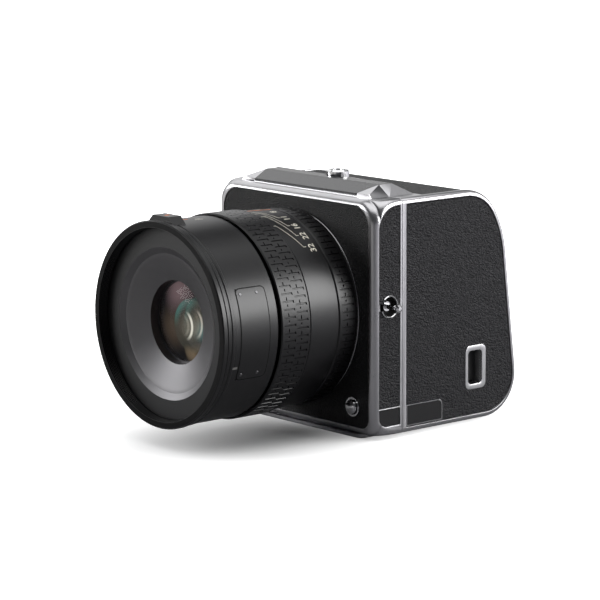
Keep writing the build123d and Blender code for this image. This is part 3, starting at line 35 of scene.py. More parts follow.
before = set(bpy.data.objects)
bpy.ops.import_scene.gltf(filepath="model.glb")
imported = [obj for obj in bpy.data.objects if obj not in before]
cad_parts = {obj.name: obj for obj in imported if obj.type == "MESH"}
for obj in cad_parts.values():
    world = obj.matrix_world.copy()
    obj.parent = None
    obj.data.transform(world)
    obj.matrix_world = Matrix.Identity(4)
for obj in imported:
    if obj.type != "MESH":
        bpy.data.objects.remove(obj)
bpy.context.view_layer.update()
MM = 0.001


def of_box(node, side, way):
    """One coordinate of a node's box, in millimetres: side 0 is low and 1 is high, way is 0 to 2 for x to z."""
    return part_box(node)[side][way] / MM


# Places read from the frame
AXIS_HEIGHT = (of_box("mount_ring", 0, 2) + of_box("mount_ring", 1, 2)) / 2
FRONT = of_box("front_leather", 0, 1)
FOCUS_BACK = FRONT - of_box("focus_ring", 1, 1)
FOCUS_FRONT = FRONT - of_box("focus_ring", 0, 1)
FOCUS_RADIUS = (of_box("focus_ring", 1, 0) - of_box("focus_ring", 0, 0)) / 2
CONTROL_BACK = FRONT - of_box("control_ring", 1, 1)
CONTROL_FRONT = FRONT - of_box("control_ring", 0, 1)
CONTROL_RADIUS = (of_box("control_ring", 1, 0) - of_box("control_ring", 0, 0)) / 2
SCALE_BACK = FRONT - of_box("scale_ring", 1, 1)
SCALE_FRONT = FRONT - of_box("scale_ring", 0, 1)
SCALE_FRONT_RADIUS = (of_box("scale_ring", 1, 0) - of_box("scale_ring", 0, 0)) / 2
SCALE_BACK_RADIUS = CONTROL_RADIUS
LENS_FRONT = FRONT - of_box("front_barrel", 0, 1)
PAD_RADIUS = of_box("front_barrel", 1, 2) - AXIS_HEIGHT
NAME_FACE = FRONT - of_box("name_ring", 0, 1)
NAME_BACK = FRONT - of_box("name_ring", 1, 1)
NAME_OUTER = of_box("name_ring", 1, 0)
CUP_MIDDLE_Y = (of_box("strap_studs", 0, 1) + of_box("strap_studs", 1, 1)) / 2
CUP_MIDDLE_Z = (of_box("strap_studs", 0, 2) + of_box("strap_studs", 1, 2)) / 2
CUP_FACE = of_box("body_frame", 1, 0)
BADGE_BACK = FRONT - of_box("badge_plate", 1, 1)
BADGE_FRONT = FRONT - of_box("badge_plate", 0, 1)

# Rings: round sizes as the frame has them
BARREL_RADIUS = 37.9
NAME_BORE = 27.5
SLEEVE_BORE = 36.25
LIP_BORE = 38.2
LIP_LENGTH = 5.4
CONTROL_BORE = 34.05
THREAD_RADIUS = 36.0

# Rings: what is added to them here
RING_STEPS = 256
THREAD_LENGTH = 3.8
THREAD_INSET = 0.25
THREAD_TURNS = 6
THREAD_DEPTH = 0.28

# Knurls: rows of fine slots along the lens, each with a hook at its back end, joined by short cross cuts
KNURL_SLOTS = 84
KNURL_STEPS = 20
SLOT_DEPTH = 0.38
SLOT_HALF_SHARE = 0.055
SLOT_SOFT_SHARE = 0.045
CROSS_HALF = 0.14
CROSS_SOFT = 0.1
CROSS_SOFT_SHARE = 0.05
LONG_CROSS_MIDDLE, LONG_CROSS_HALF = 0.75, 0.25
SHORT_CROSS_MIDDLE, SHORT_CROSS_HALF = 0.52, 0.09
CROSS_PLACE = 0.6
HOOK_SHARE = 0.2
HOOK_SOFT_SHARE = 0.06
FOCUS_ROWS = ((26.6, 31.9), (32.5, 37.8))
CONTROL_ROWS = ((3.3, 8.9),)
RING_EDGE = 0.4
SEAM_CUT = 0.2

# Rounding of the plated frames' edges in millimetres, the angles in degrees past which an edge is sharp, and
# the metres within which two corners are one
EDGE_SOFTENING = 0.3
EDGE_SEGMENTS = 3
EDGE_ANGLE = 50
ROUND_FACE_ANGLE = 28
NEW_PIECE_ANGLE = 35
SAME_POINT = 0.000002

# Places of a Mix node's colour sockets, which share their names with its number and vector sockets
MIX_FACTOR, MIX_FIRST, MIX_SECOND = 0, 6, 7
MIX_RESULT = 2

# Shader sockets by the short names that set() takes
SHADER_SOCKETS = {"base": "Base Color", "roughness": "Roughness", "metallic": "Metallic", "ior": "IOR",
                  "transmission": "Transmission Weight", "specular": "Specular IOR Level",
                  "emission": "Emission Color", "glow": "Emission Strength",
                  "film": "Thin Film Thickness", "film_ior": "Thin Film IOR"}


class Wire:
    """A value in a material. + - * / and ** between wires and numbers add their own Math nodes."""

    def __init__(self, finish, socket):
        self.finish = finish
        self.socket = socket

    def math(self, operation, *values):
        return self.finish.node("ShaderNodeMath", {"operation": operation}, values)

    def __add__(self, other):
        return self.math("ADD", self, other)

    __radd__ = __add__

    def __sub__(self, other):
        return self.math("SUBTRACT", self, other)

    def __rsub__(self, other):
        return self.math("SUBTRACT", other, self)

    def __mul__(self, other):
        return self.math("MULTIPLY", self, other)

    __rmul__ = __mul__

    def __truediv__(self, other):
        return self.math("DIVIDE", self, other)

    def __rtruediv__(self, other):
        return self.math("DIVIDE", other, self)

    def __pow__(self, other):
        return self.math("POWER", self, other)

    def step(self, low, high):
        """0 up to low, 1 from high on, and a smooth rise between, as a Map Range node gives it."""
        settings = {"interpolation_type": "SMOOTHSTEP"}
        values = {"Value": self, "From Min": low, "From Max": high}
        return self.finish.node("ShaderNodeMapRange", settings, values)


class Finish:
    """A material with one Principled shader. node() adds any other node and gives back its output as a wire."""

    def __init__(self, name):
        self.material = bpy.data.materials.new(name)
        self.material.use_nodes = True
        self.tree = self.material.node_tree
        self.shader = self.tree.nodes["Principled BSDF"]
        self.place = self.node("ShaderNodeTexCoord", output="Object")

    def put(self, socket, value):
        """A wire is linked to the socket, and a plain value is set on it."""
        if isinstance(value, Wire):
            self.tree.links.new(value.socket, socket)
        elif isinstance(value, (tuple, list)) and len(value) == 3 and socket.type == "RGBA":
            socket.default_value = (*value, 1)
        else:
            socket.default_value = value

    def node(self, kind, settings=None, values=(), output=0):
        """Adds a node: settings are its own options and are set first, values go to its sockets."""
        node = self.tree.nodes.new(kind)
        for key, value in (settings or {}).items():
            setattr(node, key, value)
        pairs = values.items() if isinstance(values, dict) else enumerate(values)
        for key, value in pairs:
            self.put(node.inputs[key], value)
        return Wire(self, node.outputs[output])

    def math_max(self, first, second):
        """The larger of two values."""
        return self.node("ShaderNodeMath", {"operation": "MAXIMUM"}, [first, second])

    def noise(self, size, detail=3):
        """Noise whose lumps are about that size in metres."""
        values = {"Vector": self.place, "Scale": 1 / size, "Detail": detail}
        return self.node("ShaderNodeTexNoise", {}, values)

    def split(self, vector, way):
        """One coordinate of a vector wire: way 0 to 2."""
        return self.node("ShaderNodeSeparateXYZ", {}, [vector], output=way)

    def blend(self, share, first, second):
        """Colour between two colours, by share."""
        sockets = {MIX_FACTOR: share, MIX_FIRST: first, MIX_SECOND: second}
        return self.node("ShaderNodeMix", {"data_type": "RGBA"}, sockets, output=MIX_RESULT)

    def bump(self, height, distance):
        """Relief of that distance in metres."""
        values = {"Height": height, "Distance": distance, "Strength": 1.0}
        self.put(self.shader.inputs["Normal"], self.node("ShaderNodeBump", {}, values))

    def set(self, **sockets):
        """Sets the shader's sockets by their short names."""
        for key, value in sockets.items():
            self.put(self.shader.inputs[SHADER_SOCKETS[key]], value)


def metal(name, tone, roughness, grain=0.00012, relief=0.0000012):
    """Plated or bare metal: fine grain in the relief, and slow clouds in colour and gloss."""
    finish = Finish(name)
    clouds = finish.noise(0.006)
    fine = finish.noise(grain, detail=2)
    dark = tuple(part * 0.9 for part in tone)
    finish.set(base=finish.blend(clouds, dark, tone), metallic=1.0,
               roughness=roughness + clouds * 0.05 + fine * 0.04)
    finish.bump(fine, relief)
    return finish.material


def leather(name, pebble, relief, tone, roughness):
    """Pebbled covering: uneven cells with rounded tops and fine creases. The height is 1, less the cell
    distance to the power 1.4, less a share of smaller cells, plus swells and fine grain. The cells' places
    are bent by noise and drawn out a little across the height."""
    finish = Finish(name)
    swell = finish.noise(pebble * 5, detail=3)
    bent = finish.node("ShaderNodeTexNoise", {},
                       {"Vector": finish.place, "Scale": 0.45 / pebble, "Detail": 2.0}, output=1)
    shift = finish.node("ShaderNodeVectorMath", {"operation": "MULTIPLY_ADD"},
                        [bent, (pebble * 1.6,) * 3, finish.place])
    flat = finish.node("ShaderNodeVectorMath", {"operation": "MULTIPLY"}, [shift, (1.0, 0.8, 1.25)])
    cells = finish.node("ShaderNodeTexVoronoi", {"feature": "SMOOTH_F1"},
                        {"Vector": flat, "Scale": 1 / pebble, "Smoothness": 0.35})
    small = finish.node("ShaderNodeTexVoronoi", {"feature": "F1"}, {"Vector": flat, "Scale": 2.6 / pebble})
    fine = finish.noise(pebble * 0.16, detail=2)
    height = 1 - cells ** 1.4 - small * 0.3 + swell * 0.8 + fine * 0.12
    # Painted shade: the creases between the cells are darker in colour, as well as rougher
    crease = cells.step(0.35, 0.8)
    dark = tuple(part * 0.55 for part in tone)
    finish.set(base=finish.blend(crease, tone, dark), roughness=roughness + crease * 0.12 + swell * 0.06,
               specular=0.29)
    finish.bump(height, relief)
    return finish.material


# How far the clouds in a painted colour go to each side of it
CLOUD_SHARE = 0.12


def paint(name, tone, roughness, relief=0.0000015, specular=0.5):
    """Anodised, painted or moulded finish: fine grain relief, with slow clouds in its colour and gloss."""
    finish = Finish(name)
    clouds = finish.noise(0.004)
    fine = finish.noise(0.0002, detail=2)
    dark = tuple(part * (1 - CLOUD_SHARE) for part in tone)
    light = tuple(min(part * (1 + CLOUD_SHARE), 1) for part in tone)
    finish.set(base=finish.blend(clouds, dark, light), roughness=roughness + fine * 0.06, specular=specular)
    finish.bump(fine, relief)
    return finish.material


def lens_place(finish):
    """Two wires: millimetres across and above the lens axis."""
    x = finish.split(finish.place, 0) / MM
    z = finish.split(finish.place, 2) / MM - AXIS_HEIGHT
    return x, z


def spot(x, z, at_x, at_z, inner, outer):
    """1 within inner millimetres of the point at_x, at_z on the glass, falling smoothly to 0 at outer."""
    away = ((x - at_x) ** 2 + (z - at_z) ** 2) ** 0.5
    return 1 - away.step(inner, outer)


def front_glass_with_painted_reflections():
    """Front glass: clear, with painted reflections laid over it as faint glows: coloured patches, two bright
    crescents and a wedge stand in for the images that its coatings throw back. Places and sizes are millimetres
    from the lens axis. A disc is where an ellipse's own distance stays under 1."""
    finish = Finish("front_glass_painted_reflections")
    x, z = lens_place(finish)
    pink = spot(x, z, -4.0, 10.5, 1.0, 10.0)
    brown = spot(x, z, -6.0, -3.0, 1.0, 11.0)
    disc = (((x - 5.2) / 8.7) ** 2 + ((z + 1.0) / 10.5) ** 2) ** 0.5
    inside = 1 - disc.step(0.93, 1.0)
    edge = inside * disc.step(0.55, 0.9)
    teal = edge * spot(x, z, -1.0, 6.0, 1.0, 9.0)
    low_teal = inside * spot(x, z, 11.0, -2.5, 0.5, 5.5)
    pale = inside * spot(x, z, 5.5, -1.5, 0.5, 6.5)
    arc = ((x - 0.5) ** 2 + (z + 1.0) ** 2) ** 0.5
    beside = inside * spot(x, z, 6.3, -1.0, 2.5, 6.5)
    crescent = beside * arc.step(5.4, 6.0) * (1 - arc.step(6.3, 7.0))
    second = beside * arc.step(3.4, 4.2) * (1 - arc.step(4.4, 5.2))
    wedge = spot(x, z, 3.6, -12.0, 0.5, 4.6) * x.step(0.4, 1.6)
    # Painted reflections, mixed into one emission colour that glows whatever light falls on the glass
    glow = finish.blend(brown, (0.010, 0.010, 0.011), (0.062, 0.046, 0.034))
    glow = finish.blend(pink, glow, (0.150, 0.105, 0.112))
    glow = finish.blend(inside * 0.8, glow, (0.052, 0.056, 0.046))
    glow = finish.blend(teal, glow, (0.060, 0.19, 0.165))
    glow = finish.blend(low_teal, glow, (0.035, 0.120, 0.125))
    glow = finish.blend(pale, glow, (0.150, 0.150, 0.118))
    glow = finish.blend(second * 0.5, glow, (0.42, 0.40, 0.33))
    glow = finish.blend(crescent, glow, (1.1, 1.08, 0.94))
    glow = finish.blend(wedge * 0.8, glow, (0.22, 0.165, 0.105))
    finish.set(base=(0.3, 0.27, 0.26), roughness=0.01, transmission=1.0, ior=1.1,
               emission=glow, glow=0.6)
    return finish.material


def clear_glass(name, tint):
    """Inner glass with a coating tint and fine ripples in its gloss."""
    finish = Finish(name)
    finish.set(base=tint, roughness=0.02 + finish.noise(0.002) * 0.02, transmission=0.85, ior=1.2,
               film=380.0, film_ior=1.12)
    return finish.material


def name_ring_painted_shade():
    """Satin grey ring with painted shade: lighter on the lower right than on the upper left, as the light falls
    on it.
    """
    finish = Finish("name_ring_grey_painted_shade")
    x, z = lens_place(finish)
    fine = finish.noise(0.00015, detail=2)
    # Painted shade: the share rises from the upper left, where the ring lies in shade, to the lower right
    painted_light_share = (x * 0.7 - z * 0.7).step(-36, 36)
    finish.set(base=finish.blend(painted_light_share, (0.0085, 0.0085, 0.0092), (0.013, 0.013, 0.014)),
               roughness=0.42 + fine * 0.08)
    finish.bump(fine, 0.000002)
    return finish.material


def board_green():
    """Circuit board: green lacquer over fine copper tracks."""
    finish = Finish("circuit_board")
    tracks = finish.node("ShaderNodeTexBrick", {}, {"Vector": finish.place, "Scale": 500.0}, output=1)
    finish.set(base=finish.blend(tracks, (0.01, 0.09, 0.05), (0.03, 0.16, 0.08)),
               roughness=0.3 + tracks * 0.1)
    return finish.material


satin_chrome = metal("satin_chrome", (0.54, 0.535, 0.55), 0.24)
bright_chrome = metal("bright_chrome", (0.80, 0.80, 0.81), 0.10)
turned_steel = metal("turned_steel", (0.55, 0.55, 0.56), 0.24)
coarse_leather = leather("coarse_leather", 0.00074, 0.00034, (0.0070, 0.0066, 0.0092), 0.46)
fine_leather = leather("fine_leather", 0.00050, 0.00018, (0.010, 0.010, 0.0107), 0.44)
lens_black = paint("lens_black", (0.0042, 0.0040, 0.0047), 0.31, specular=0.48)
rim_black = paint("rim_black", (0.003, 0.003, 0.0032), 0.34, specular=0.13)
cone_black = metal("cone_black", (0.13, 0.128, 0.133), 0.40, grain=0.0002, relief=0.000002)
plate_grey = paint("plate_grey", (0.017, 0.017, 0.019), 0.24)
tag_black = paint("tag_black", (0.009, 0.009, 0.010), 0.42, specular=0.25)
matt_black = paint("matt_black", (0.02, 0.02, 0.021), 0.6)
groove_black = paint("groove_black", (0.0015, 0.0015, 0.0015), 0.7, specular=0.2)
mark_grey = paint("mark_grey", (0.16, 0.155, 0.15), 0.4)
button_black = paint("button_black", (0.02, 0.02, 0.021), 0.45)
battery_grey = paint("battery_grey", (0.09, 0.09, 0.1), 0.5)
display_black = paint("display_black", (0.004, 0.004, 0.005), 0.05, relief=0.0)
sensor_dark = paint("sensor_dark", (0.02, 0.03, 0.045), 0.08, relief=0.0)
mark_white = paint("mark_white", (0.80, 0.77, 0.66), 0.5)
mark_orange = paint("mark_orange", (0.85, 0.22, 0.04), 0.5)
name_grey_painted_shade = name_ring_painted_shade()
front_painted_reflections = front_glass_with_painted_reflections()
inner_coating = clear_glass("inner_coating", (0.75, 0.68, 0.82))
circuit_board = board_green()

finish_of = {
    satin_chrome: ("body_frame", "back_shell", "base_plate", "side_door"),
    bright_chrome: ("mount_ring", "strap_studs", "button_collars", "recess_ring", "latch_knob",
                    "lens_release_button"),
    turned_steel: ("tripod_bush", "hinge_pins", "screen_hinge_bracket", "lens_bayonet",
                   "lens_lock_pin", "shutter_button"),
    coarse_leather: ("side_leathers", "door_leather"),
    fine_leather: ("front_leather", "back_leathers"),
    plate_grey: ("name_plate", "back_rib"),
    tag_black: ("body_tag_plate", "back_tag_plate"),
    lens_black: ("front_barrel", "scale_ring", "focus_sleeve", "lens_core", "badge_plate", "control_wheel"),
    cone_black: ("cone_baffle", "focus_cell"),
    matt_black: ("contact_block", "battery_bay", "card_slot", "port_block", "iris_blades", "port_cover",
                 "door_latch_slider"),
    button_black: ("rear_bezel", "screen_frame", "rear_button_1", "rear_button_2", "rear_button_3",
                   "rear_button_4", "rear_button_5"),
    battery_grey: ("battery",),
    display_black: ("screen_glass",),
    sensor_dark: ("sensor_unit",),
    circuit_board: ("main_board",),
    name_grey_painted_shade: ("name_ring",),
    front_painted_reflections: ("front_glass",),
    inner_coating: ("inner_glasses", "focus_glass"),
}
for material, nodes in finish_of.items():
    for node in nodes:
        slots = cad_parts[node].data.materials
        slots.clear()
        slots.append(material)


def smoothing():
    """Node group that merges a piece's loose triangles and shades its round faces smooth."""
    group = bpy.data.node_groups.new("smooth_round_faces", "GeometryNodeTree")
    group.interface.new_socket("Geometry", in_out="INPUT", socket_type="NodeSocketGeometry")
    group.interface.new_socket("Geometry", in_out="OUTPUT", socket_type="NodeSocketGeometry")
    way_in = group.nodes.new("NodeGroupInput")
    way_out = group.nodes.new("NodeGroupOutput")
    merge = group.nodes.new("GeometryNodeMergeByDistance")
    merge.inputs["Distance"].default_value = SAME_POINT
    faces = group.nodes.new("GeometryNodeSetShadeSmooth")
    faces.domain = "FACE"
    edges = group.nodes.new("GeometryNodeSetShadeSmooth")
    edges.domain = "EDGE"
    angle = group.nodes.new("GeometryNodeInputMeshEdgeAngle")
    limit = group.nodes.new("FunctionNodeCompare")
    limit.data_type = "FLOAT"
    limit.operation = "LESS_THAN"
    limit.inputs[1].default_value = math.radians(ROUND_FACE_ANGLE)
    group.links.new(angle.outputs[0], limit.inputs[0])
    group.links.new(way_in.outputs[0], merge.inputs["Geometry"])
    group.links.new(merge.outputs[0], faces.inputs["Geometry"])
    group.links.new(faces.outputs[0], edges.inputs["Geometry"])
    group.links.new(limit.outputs[0], edges.inputs["Shade Smooth"])
    group.links.new(edges.outputs[0], way_out.inputs[0])
    return group


smooth_group = smoothing()
ROUNDED_NODES = ("body_frame", "side_door", "recess_ring", "back_shell")
for name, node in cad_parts.items():
    modifier = node.modifiers.new("merge", "NODES")
    modifier.node_group = smooth_group
    if name in ROUNDED_NODES:
        bevel = node.modifiers.new("soft_edges", "BEVEL")
        bevel.width = EDGE_SOFTENING * MM
        bevel.segments = EDGE_SEGMENTS
        bevel.limit_method = "ANGLE"
        bevel.angle_limit = math.radians(EDGE_ANGLE)
        bevel.use_clamp_overlap = False
        modifier = node.modifiers.new("smooth", "NODES")
        modifier.node_group = smooth_group


def piece(name, points, faces, material, body):
    """New mesh object from arrays of points in millimetres and of faces, riding on a body."""
    mesh = bpy.data.meshes.new(name)
    mesh.from_pydata((points * MM).tolist(), [], faces.tolist())
    mesh.validate()
    mesh.shade_smooth()
    mesh.set_sharp_from_angle(angle=math.radians(NEW_PIECE_ANGLE))
    mesh.materials.append(material)
    new = bpy.data.objects.new(name, mesh)
    bpy.context.scene.collection.objects.link(new)
    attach(new, body)
    return new


def on_lens(radius, reach, turn):
    """Points at a radius and reach, turned by turn degrees from +Z to +X: x is radius times sine,
    z is the axis height plus radius times cosine, and y is the front covering less the reach."""
    angle = np.radians(turn)
    return np.stack([radius * np.sin(angle), FRONT - reach + 0 * angle,
                     AXIS_HEIGHT + radius * np.cos(angle)], axis=-1)


def grid_faces(rows, columns, close_rows, close_columns):
    """Faces of a grid of points, row by row, joined round where it closes."""
    row = np.arange(rows if close_rows else rows - 1)[:, None]
    column = np.arange(columns if close_columns else columns - 1)[None, :]
    next_row = (row + 1) % rows
    next_column = (column + 1) % columns
    corners = [row * columns + column, next_row * columns + column,
               next_row * columns + next_column, row * columns + next_column]
    return np.stack([corner.ravel() for corner in corners], axis=-1)


def ridge(value, half, soft):
    """1 where the value is within half of zero, falling smoothly to 0 over soft more."""
    share = np.clip((half + soft - np.abs(value)) / soft, 0, 1)
    return share * share * (3 - 2 * share)


def knurl(reach, turn, rows):
    """Depth share of the slots. A slot runs along the row from back to front at each whole pitch. A hook turns
    down from its back end over a fifth of a pitch. Between the slots lies a cross cut: in every second gap it
    reaches up from the slot below it, and in the others it is a short dash in the middle."""
    depth = np.zeros(np.broadcast(reach, turn).shape)
    for number, (back, front) in enumerate(rows):
        pitch = turn * KNURL_SLOTS / 360 + number * 0.5
        away = pitch - np.round(pitch)
        along = ridge(reach - (back + front) / 2, (front - back) / 2 - CROSS_SOFT, CROSS_SOFT)
        slot = ridge(away, SLOT_HALF_SHARE, SLOT_SOFT_SHARE) * along
        gap = pitch - np.floor(pitch)
        even = np.floor(pitch) % 2
        hook = ridge(reach - back - CROSS_HALF, CROSS_HALF, CROSS_SOFT)
        hook = hook * ridge(gap - HOOK_SHARE / 2, HOOK_SHARE / 2, HOOK_SOFT_SHARE)
        place = back + CROSS_PLACE * (front - back)
        long_cross = ridge(gap - LONG_CROSS_MIDDLE, LONG_CROSS_HALF, CROSS_SOFT_SHARE)
        short_cross = ridge(gap - SHORT_CROSS_MIDDLE, SHORT_CROSS_HALF, CROSS_SOFT_SHARE)
        reach_up = even * long_cross + (1 - even) * short_cross
        cross = ridge(reach - place, CROSS_HALF, CROSS_SOFT) * reach_up
        depth = np.maximum(depth, np.maximum(np.maximum(slot, hook), cross))
    return depth


def turned(name, profile, steps, material, body, slots=None):
    """Closed profile of (reach, radius) points carried round the lens axis: each point goes round a circle
    of its own radius, less the slots' depth where the profile lies on the outside."""
    profile = np.array(profile)
    turn = np.arange(steps) * 360 / steps
    reach = profile[:, 0][:, None] + 0 * turn[None, :]
    radius = profile[:, 1][:, None] + 0 * turn[None, :]
    if slots:
        outside = profile[:, 1].max() - 0.01
        radius = radius - SLOT_DEPTH * knurl(reach, turn[None, :], slots) * (radius > outside)
    points = on_lens(radius, reach, turn[None, :] + 0 * reach).reshape(-1, 3)
    return piece(name, points, grid_faces(len(profile), steps, True, True), material, body)


def outside_line(back, front, radius, rows):
    """Points of a ring's outside: a small bevel at each end, and reaches that lie close together only where
    the slots, hooks and cross cuts begin and end."""
    reaches = [back + RING_EDGE, front - RING_EDGE]
    for row_back, row_front in rows:
        place = row_back + CROSS_PLACE * (row_front - row_back)
        hook_end = row_back + 2 * CROSS_HALF
        edge = np.array([-1, -0.5, 0, 0.5, 1]) * CROSS_SOFT
        reaches += list(row_back + edge) + list(hook_end + edge[2:]) + list(row_front + edge[:3])
        reaches += list(place - CROSS_HALF + edge[:3]) + [place] + list(place + CROSS_HALF + edge[2:])
        reaches += [(hook_end + place) / 2, (place + row_front) / 2]
    run = [(reach, radius) for reach in sorted(reaches)]
    return [(back, radius - RING_EDGE), *run, (front, radius - RING_EDGE)]


focus_profile = outside_line(FOCUS_BACK, FOCUS_FRONT, FOCUS_RADIUS, FOCUS_ROWS)
focus_profile += [(FOCUS_FRONT, LIP_BORE), (FOCUS_FRONT - LIP_LENGTH, LIP_BORE),
                  (FOCUS_FRONT - LIP_LENGTH, SLEEVE_BORE), (FOCUS_BACK, SLEEVE_BORE)]
focus_knurl = turned("focus_ring_knurled", focus_profile, KNURL_SLOTS * KNURL_STEPS, lens_black,
                     "focus_ring_body", FOCUS_ROWS)
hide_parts("focus_ring")

control_profile = outside_line(CONTROL_BACK, CONTROL_FRONT - SEAM_CUT, CONTROL_RADIUS, CONTROL_ROWS)
control_profile += [(CONTROL_FRONT - SEAM_CUT, CONTROL_BORE), (CONTROL_BACK, CONTROL_BORE)]
control_knurl = turned("control_ring_knurled", control_profile, KNURL_SLOTS * KNURL_STEPS, lens_black,
                       "control_ring_body", CONTROL_ROWS)
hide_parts("control_ring")

# Thread turns inside the front rim
thread_front = LENS_FRONT - THREAD_INSET
thread_reach = np.linspace(thread_front - THREAD_LENGTH, thread_front, THREAD_TURNS * 2 + 1)
thread_profile = [(reach, THREAD_RADIUS - THREAD_DEPTH * (number % 2))
                  for number, reach in enumerate(thread_reach)]
thread_profile += [(thread_reach[-1], THREAD_RADIUS), (thread_reach[0], THREAD_RADIUS)]
turned("filter_thread_turns", thread_profile[::-1], RING_STEPS, rim_black, "camera")

# Marks painted on the rings, and plain numbers on the scale
INK = 0.03
LINE_WIDTH = 0.24
RIBBON_STEPS = 10


def scale_radius(reach):
    """Radius of the scale ring, which widens evenly from its back to its front."""
    share = (reach - SCALE_BACK) / (SCALE_FRONT - SCALE_BACK)
    return SCALE_BACK_RADIUS + (SCALE_FRONT_RADIUS - SCALE_BACK_RADIUS) * np.clip(share, 0, 1)


def barrel_radius(reach):
    """Radius of the front barrel."""
    return BARREL_RADIUS + 0 * reach


def ribbon(name, route, width, radius_at, material):
    """Flat line of even width on a ring: the route's (reach, turn) corners are joined by straight runs, each
    cut into short steps, and the two edges lie half a width to each side, square to the run."""
    corners = np.array(route, dtype=float)
    arc = math.radians(1) * radius_at(corners[0, 0])
    flat = corners * np.array([1, arc])
    rows = []
    for start, end in zip(flat[:-1], flat[1:]):
        way = (end - start) / np.linalg.norm(end - start)
        side = np.array([-way[1], way[0]]) * width / 2
        share = np.linspace(0, 1, RIBBON_STEPS)[:, None]
        middle = (start - way * width / 2) * (1 - share) + (end + way * width / 2) * share
        rows.append(np.stack([middle - side, middle + side], axis=1))
    edges = np.concatenate(rows).reshape(-1, 2)
    points = on_lens(radius_at(edges[:, 0]) + INK, edges[:, 0], edges[:, 1] / arc)
    faces = np.concatenate([grid_faces(RIBBON_STEPS, 2, False, False) + 2 * RIBBON_STEPS * number
                            for number in range(len(rows))])
    piece(name, points, faces[:, ::-1], material, "camera")


def dial_number(name, words, turn):
    """Number laid on the scale ring, read from behind the camera: its figures run against the turn, and their
    tops point forwards. What lies across the flat number becomes turn, as its length over the ring's radius."""
    curve = bpy.data.curves.new(name, "FONT")
    curve.body = words
    curve.size = NUMBER_HEIGHT
    curve.align_x = "CENTER"
    curve.align_y = "CENTER"
    curve.resolution_u = 4
    curve.offset = NUMBER_WEIGHT
    letters = bpy.data.objects.new(name + "_flat", curve)
    bpy.context.scene.collection.objects.link(letters)
    flat = bpy.data.meshes.new_from_object(letters.evaluated_get(bpy.context.evaluated_depsgraph_get()))
    bpy.data.objects.remove(letters)
    places = np.empty(len(flat.vertices) * 3)
    flat.vertices.foreach_get("co", places)
    places = places.reshape(-1, 3)
    up = NUMBER_REACH + places[:, 1]
    round_by = turn - np.degrees(places[:, 0] / scale_radius(NUMBER_REACH))
    points = on_lens(scale_radius(up) + INK, up, round_by)
    flat.vertices.foreach_set("co", (points * MM).ravel())
    flat.materials.append(mark_white)
    flat.update()
    new = bpy.data.objects.new(name, flat)
    bpy.context.scene.collection.objects.link(new)
    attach(new, "camera")


# Plain numbers with their turns, and the lines that lead from them: turn and reach at the number, reach of
# the first bend, turn at the far end, reach of the second bend and of the end
APERTURES = (("8", 7.0), ("11", 18.0), ("16", 27.8), ("22", 36.2), ("32", 45.4))
NUMBER_HEIGHT = 3.9
NUMBER_REACH = 14.3
NUMBER_WEIGHT = 0.045
BENT_LINES = {"32": (44.4, 17.2, 18.3, 25.8, 23.3, 24.2), "22": (35.6, 17.0, 18.0, 14.0, 22.2, 24.2),
              "16": (26.6, 16.8, 17.8, 8.6, 21.6, 24.2), "11": (17.2, 16.6, 17.4, 5.0, 21.0, 24.2)}
for side, side_name in ((1, "right"), (-1, "left")):
    for words, turn in APERTURES:
        dial_number("scale_%s_%s" % (words, side_name), words, turn * side)
        if words in BENT_LINES:
            start, back, bend, end, rise, front = BENT_LINES[words]
            route = [(back, start * side), (bend, start * side), (rise, end * side), (front, end * side)]
            ribbon("scale_line_%s_%s" % (words, side_name), route, LINE_WIDTH, scale_radius, mark_white)

# Index marks: each is a short run along the lens
ribbon("scale_centre_line", [(12.2, 0), (24.4, 0)], 0.5, scale_radius, mark_orange)
ribbon("barrel_index", [(52.4, 0.6), (56.8, 0.6)], 0.6, barrel_radius, mark_orange)
for number, turn, front in ((1, 2.5, 49.5), (2, 4.6, 50.5)):
    ribbon("barrel_tick_%d" % number, [(47.0, turn), (front, turn)], 0.3, barrel_radius, mark_white)
ribbon("rim_index", [(58.7, 108.0), (60.0, 108.0)], 0.9, barrel_radius, mark_grey)

# Screws of the badge plate: shares of the rise and of the radius, from the head's foot to the middle of its top
SCREW_PROFILE = ((0, 1), (0.28, 1), (0.62, 0.93), (1, 0.78), (1, 0))
SCREW_STEPS = 32
SCREW_RADIUS = 0.65
SCREW_RISE = 0.2
SCREW_FOOT = 0.1
SCREW_TURN = 22.8
SCREW_INSET = 1.6


def badge_screw(name, reach, turn):
    """Small round head square on the barrel: each profile point goes round a circle of its own radius about
    the radial line through the head's middle, at its own height along that line."""
    profile = np.array(SCREW_PROFILE)
    spin = np.radians(np.arange(SCREW_STEPS) * 360 / SCREW_STEPS)
    across = profile[:, 1][:, None] * SCREW_RADIUS * np.cos(spin)[None, :]
    along = profile[:, 1][:, None] * SCREW_RADIUS * np.sin(spin)[None, :]
    height = (profile[:, 0] * SCREW_RISE)[:, None] + 0 * across
    angle = math.radians(turn)
    out = np.array([math.sin(angle), 0, math.cos(angle)])
    side = np.array([math.cos(angle), 0, -math.sin(angle)])
    forward = np.array([0, -1, 0])
    foot = on_lens(BARREL_RADIUS + SCREW_FOOT, reach, np.array(turn, dtype=float))
    points = foot + height[..., None] * out + across[..., None] * side + along[..., None] * forward
    faces = grid_faces(len(profile), SCREW_STEPS, False, True)
    piece(name, points.reshape(-1, 3), faces, cone_black, "camera")


# Badge plate: longer than the frame's by BADGE_EXTRA, with rounded corners, in a fine groove
BADGE_EXTRA = 2.2
BADGE_MIDDLE = (BADGE_FRONT + BADGE_BACK - BADGE_EXTRA) / 2
BADGE_HALF_LENGTH = (BADGE_FRONT - BADGE_BACK + BADGE_EXTRA) / 2
BADGE_HALF_ARC = 17.0
BADGE_CORNER = 1.6
BADGE_RISE = 0.13
BADGE_TURN = 90
GROOVE_WIDTH = 0.42
GROOVE_RISE = 0.05
CORNER_ROWS = 9
ARC_ROWS = 32
LENGTH_STEPS = 9


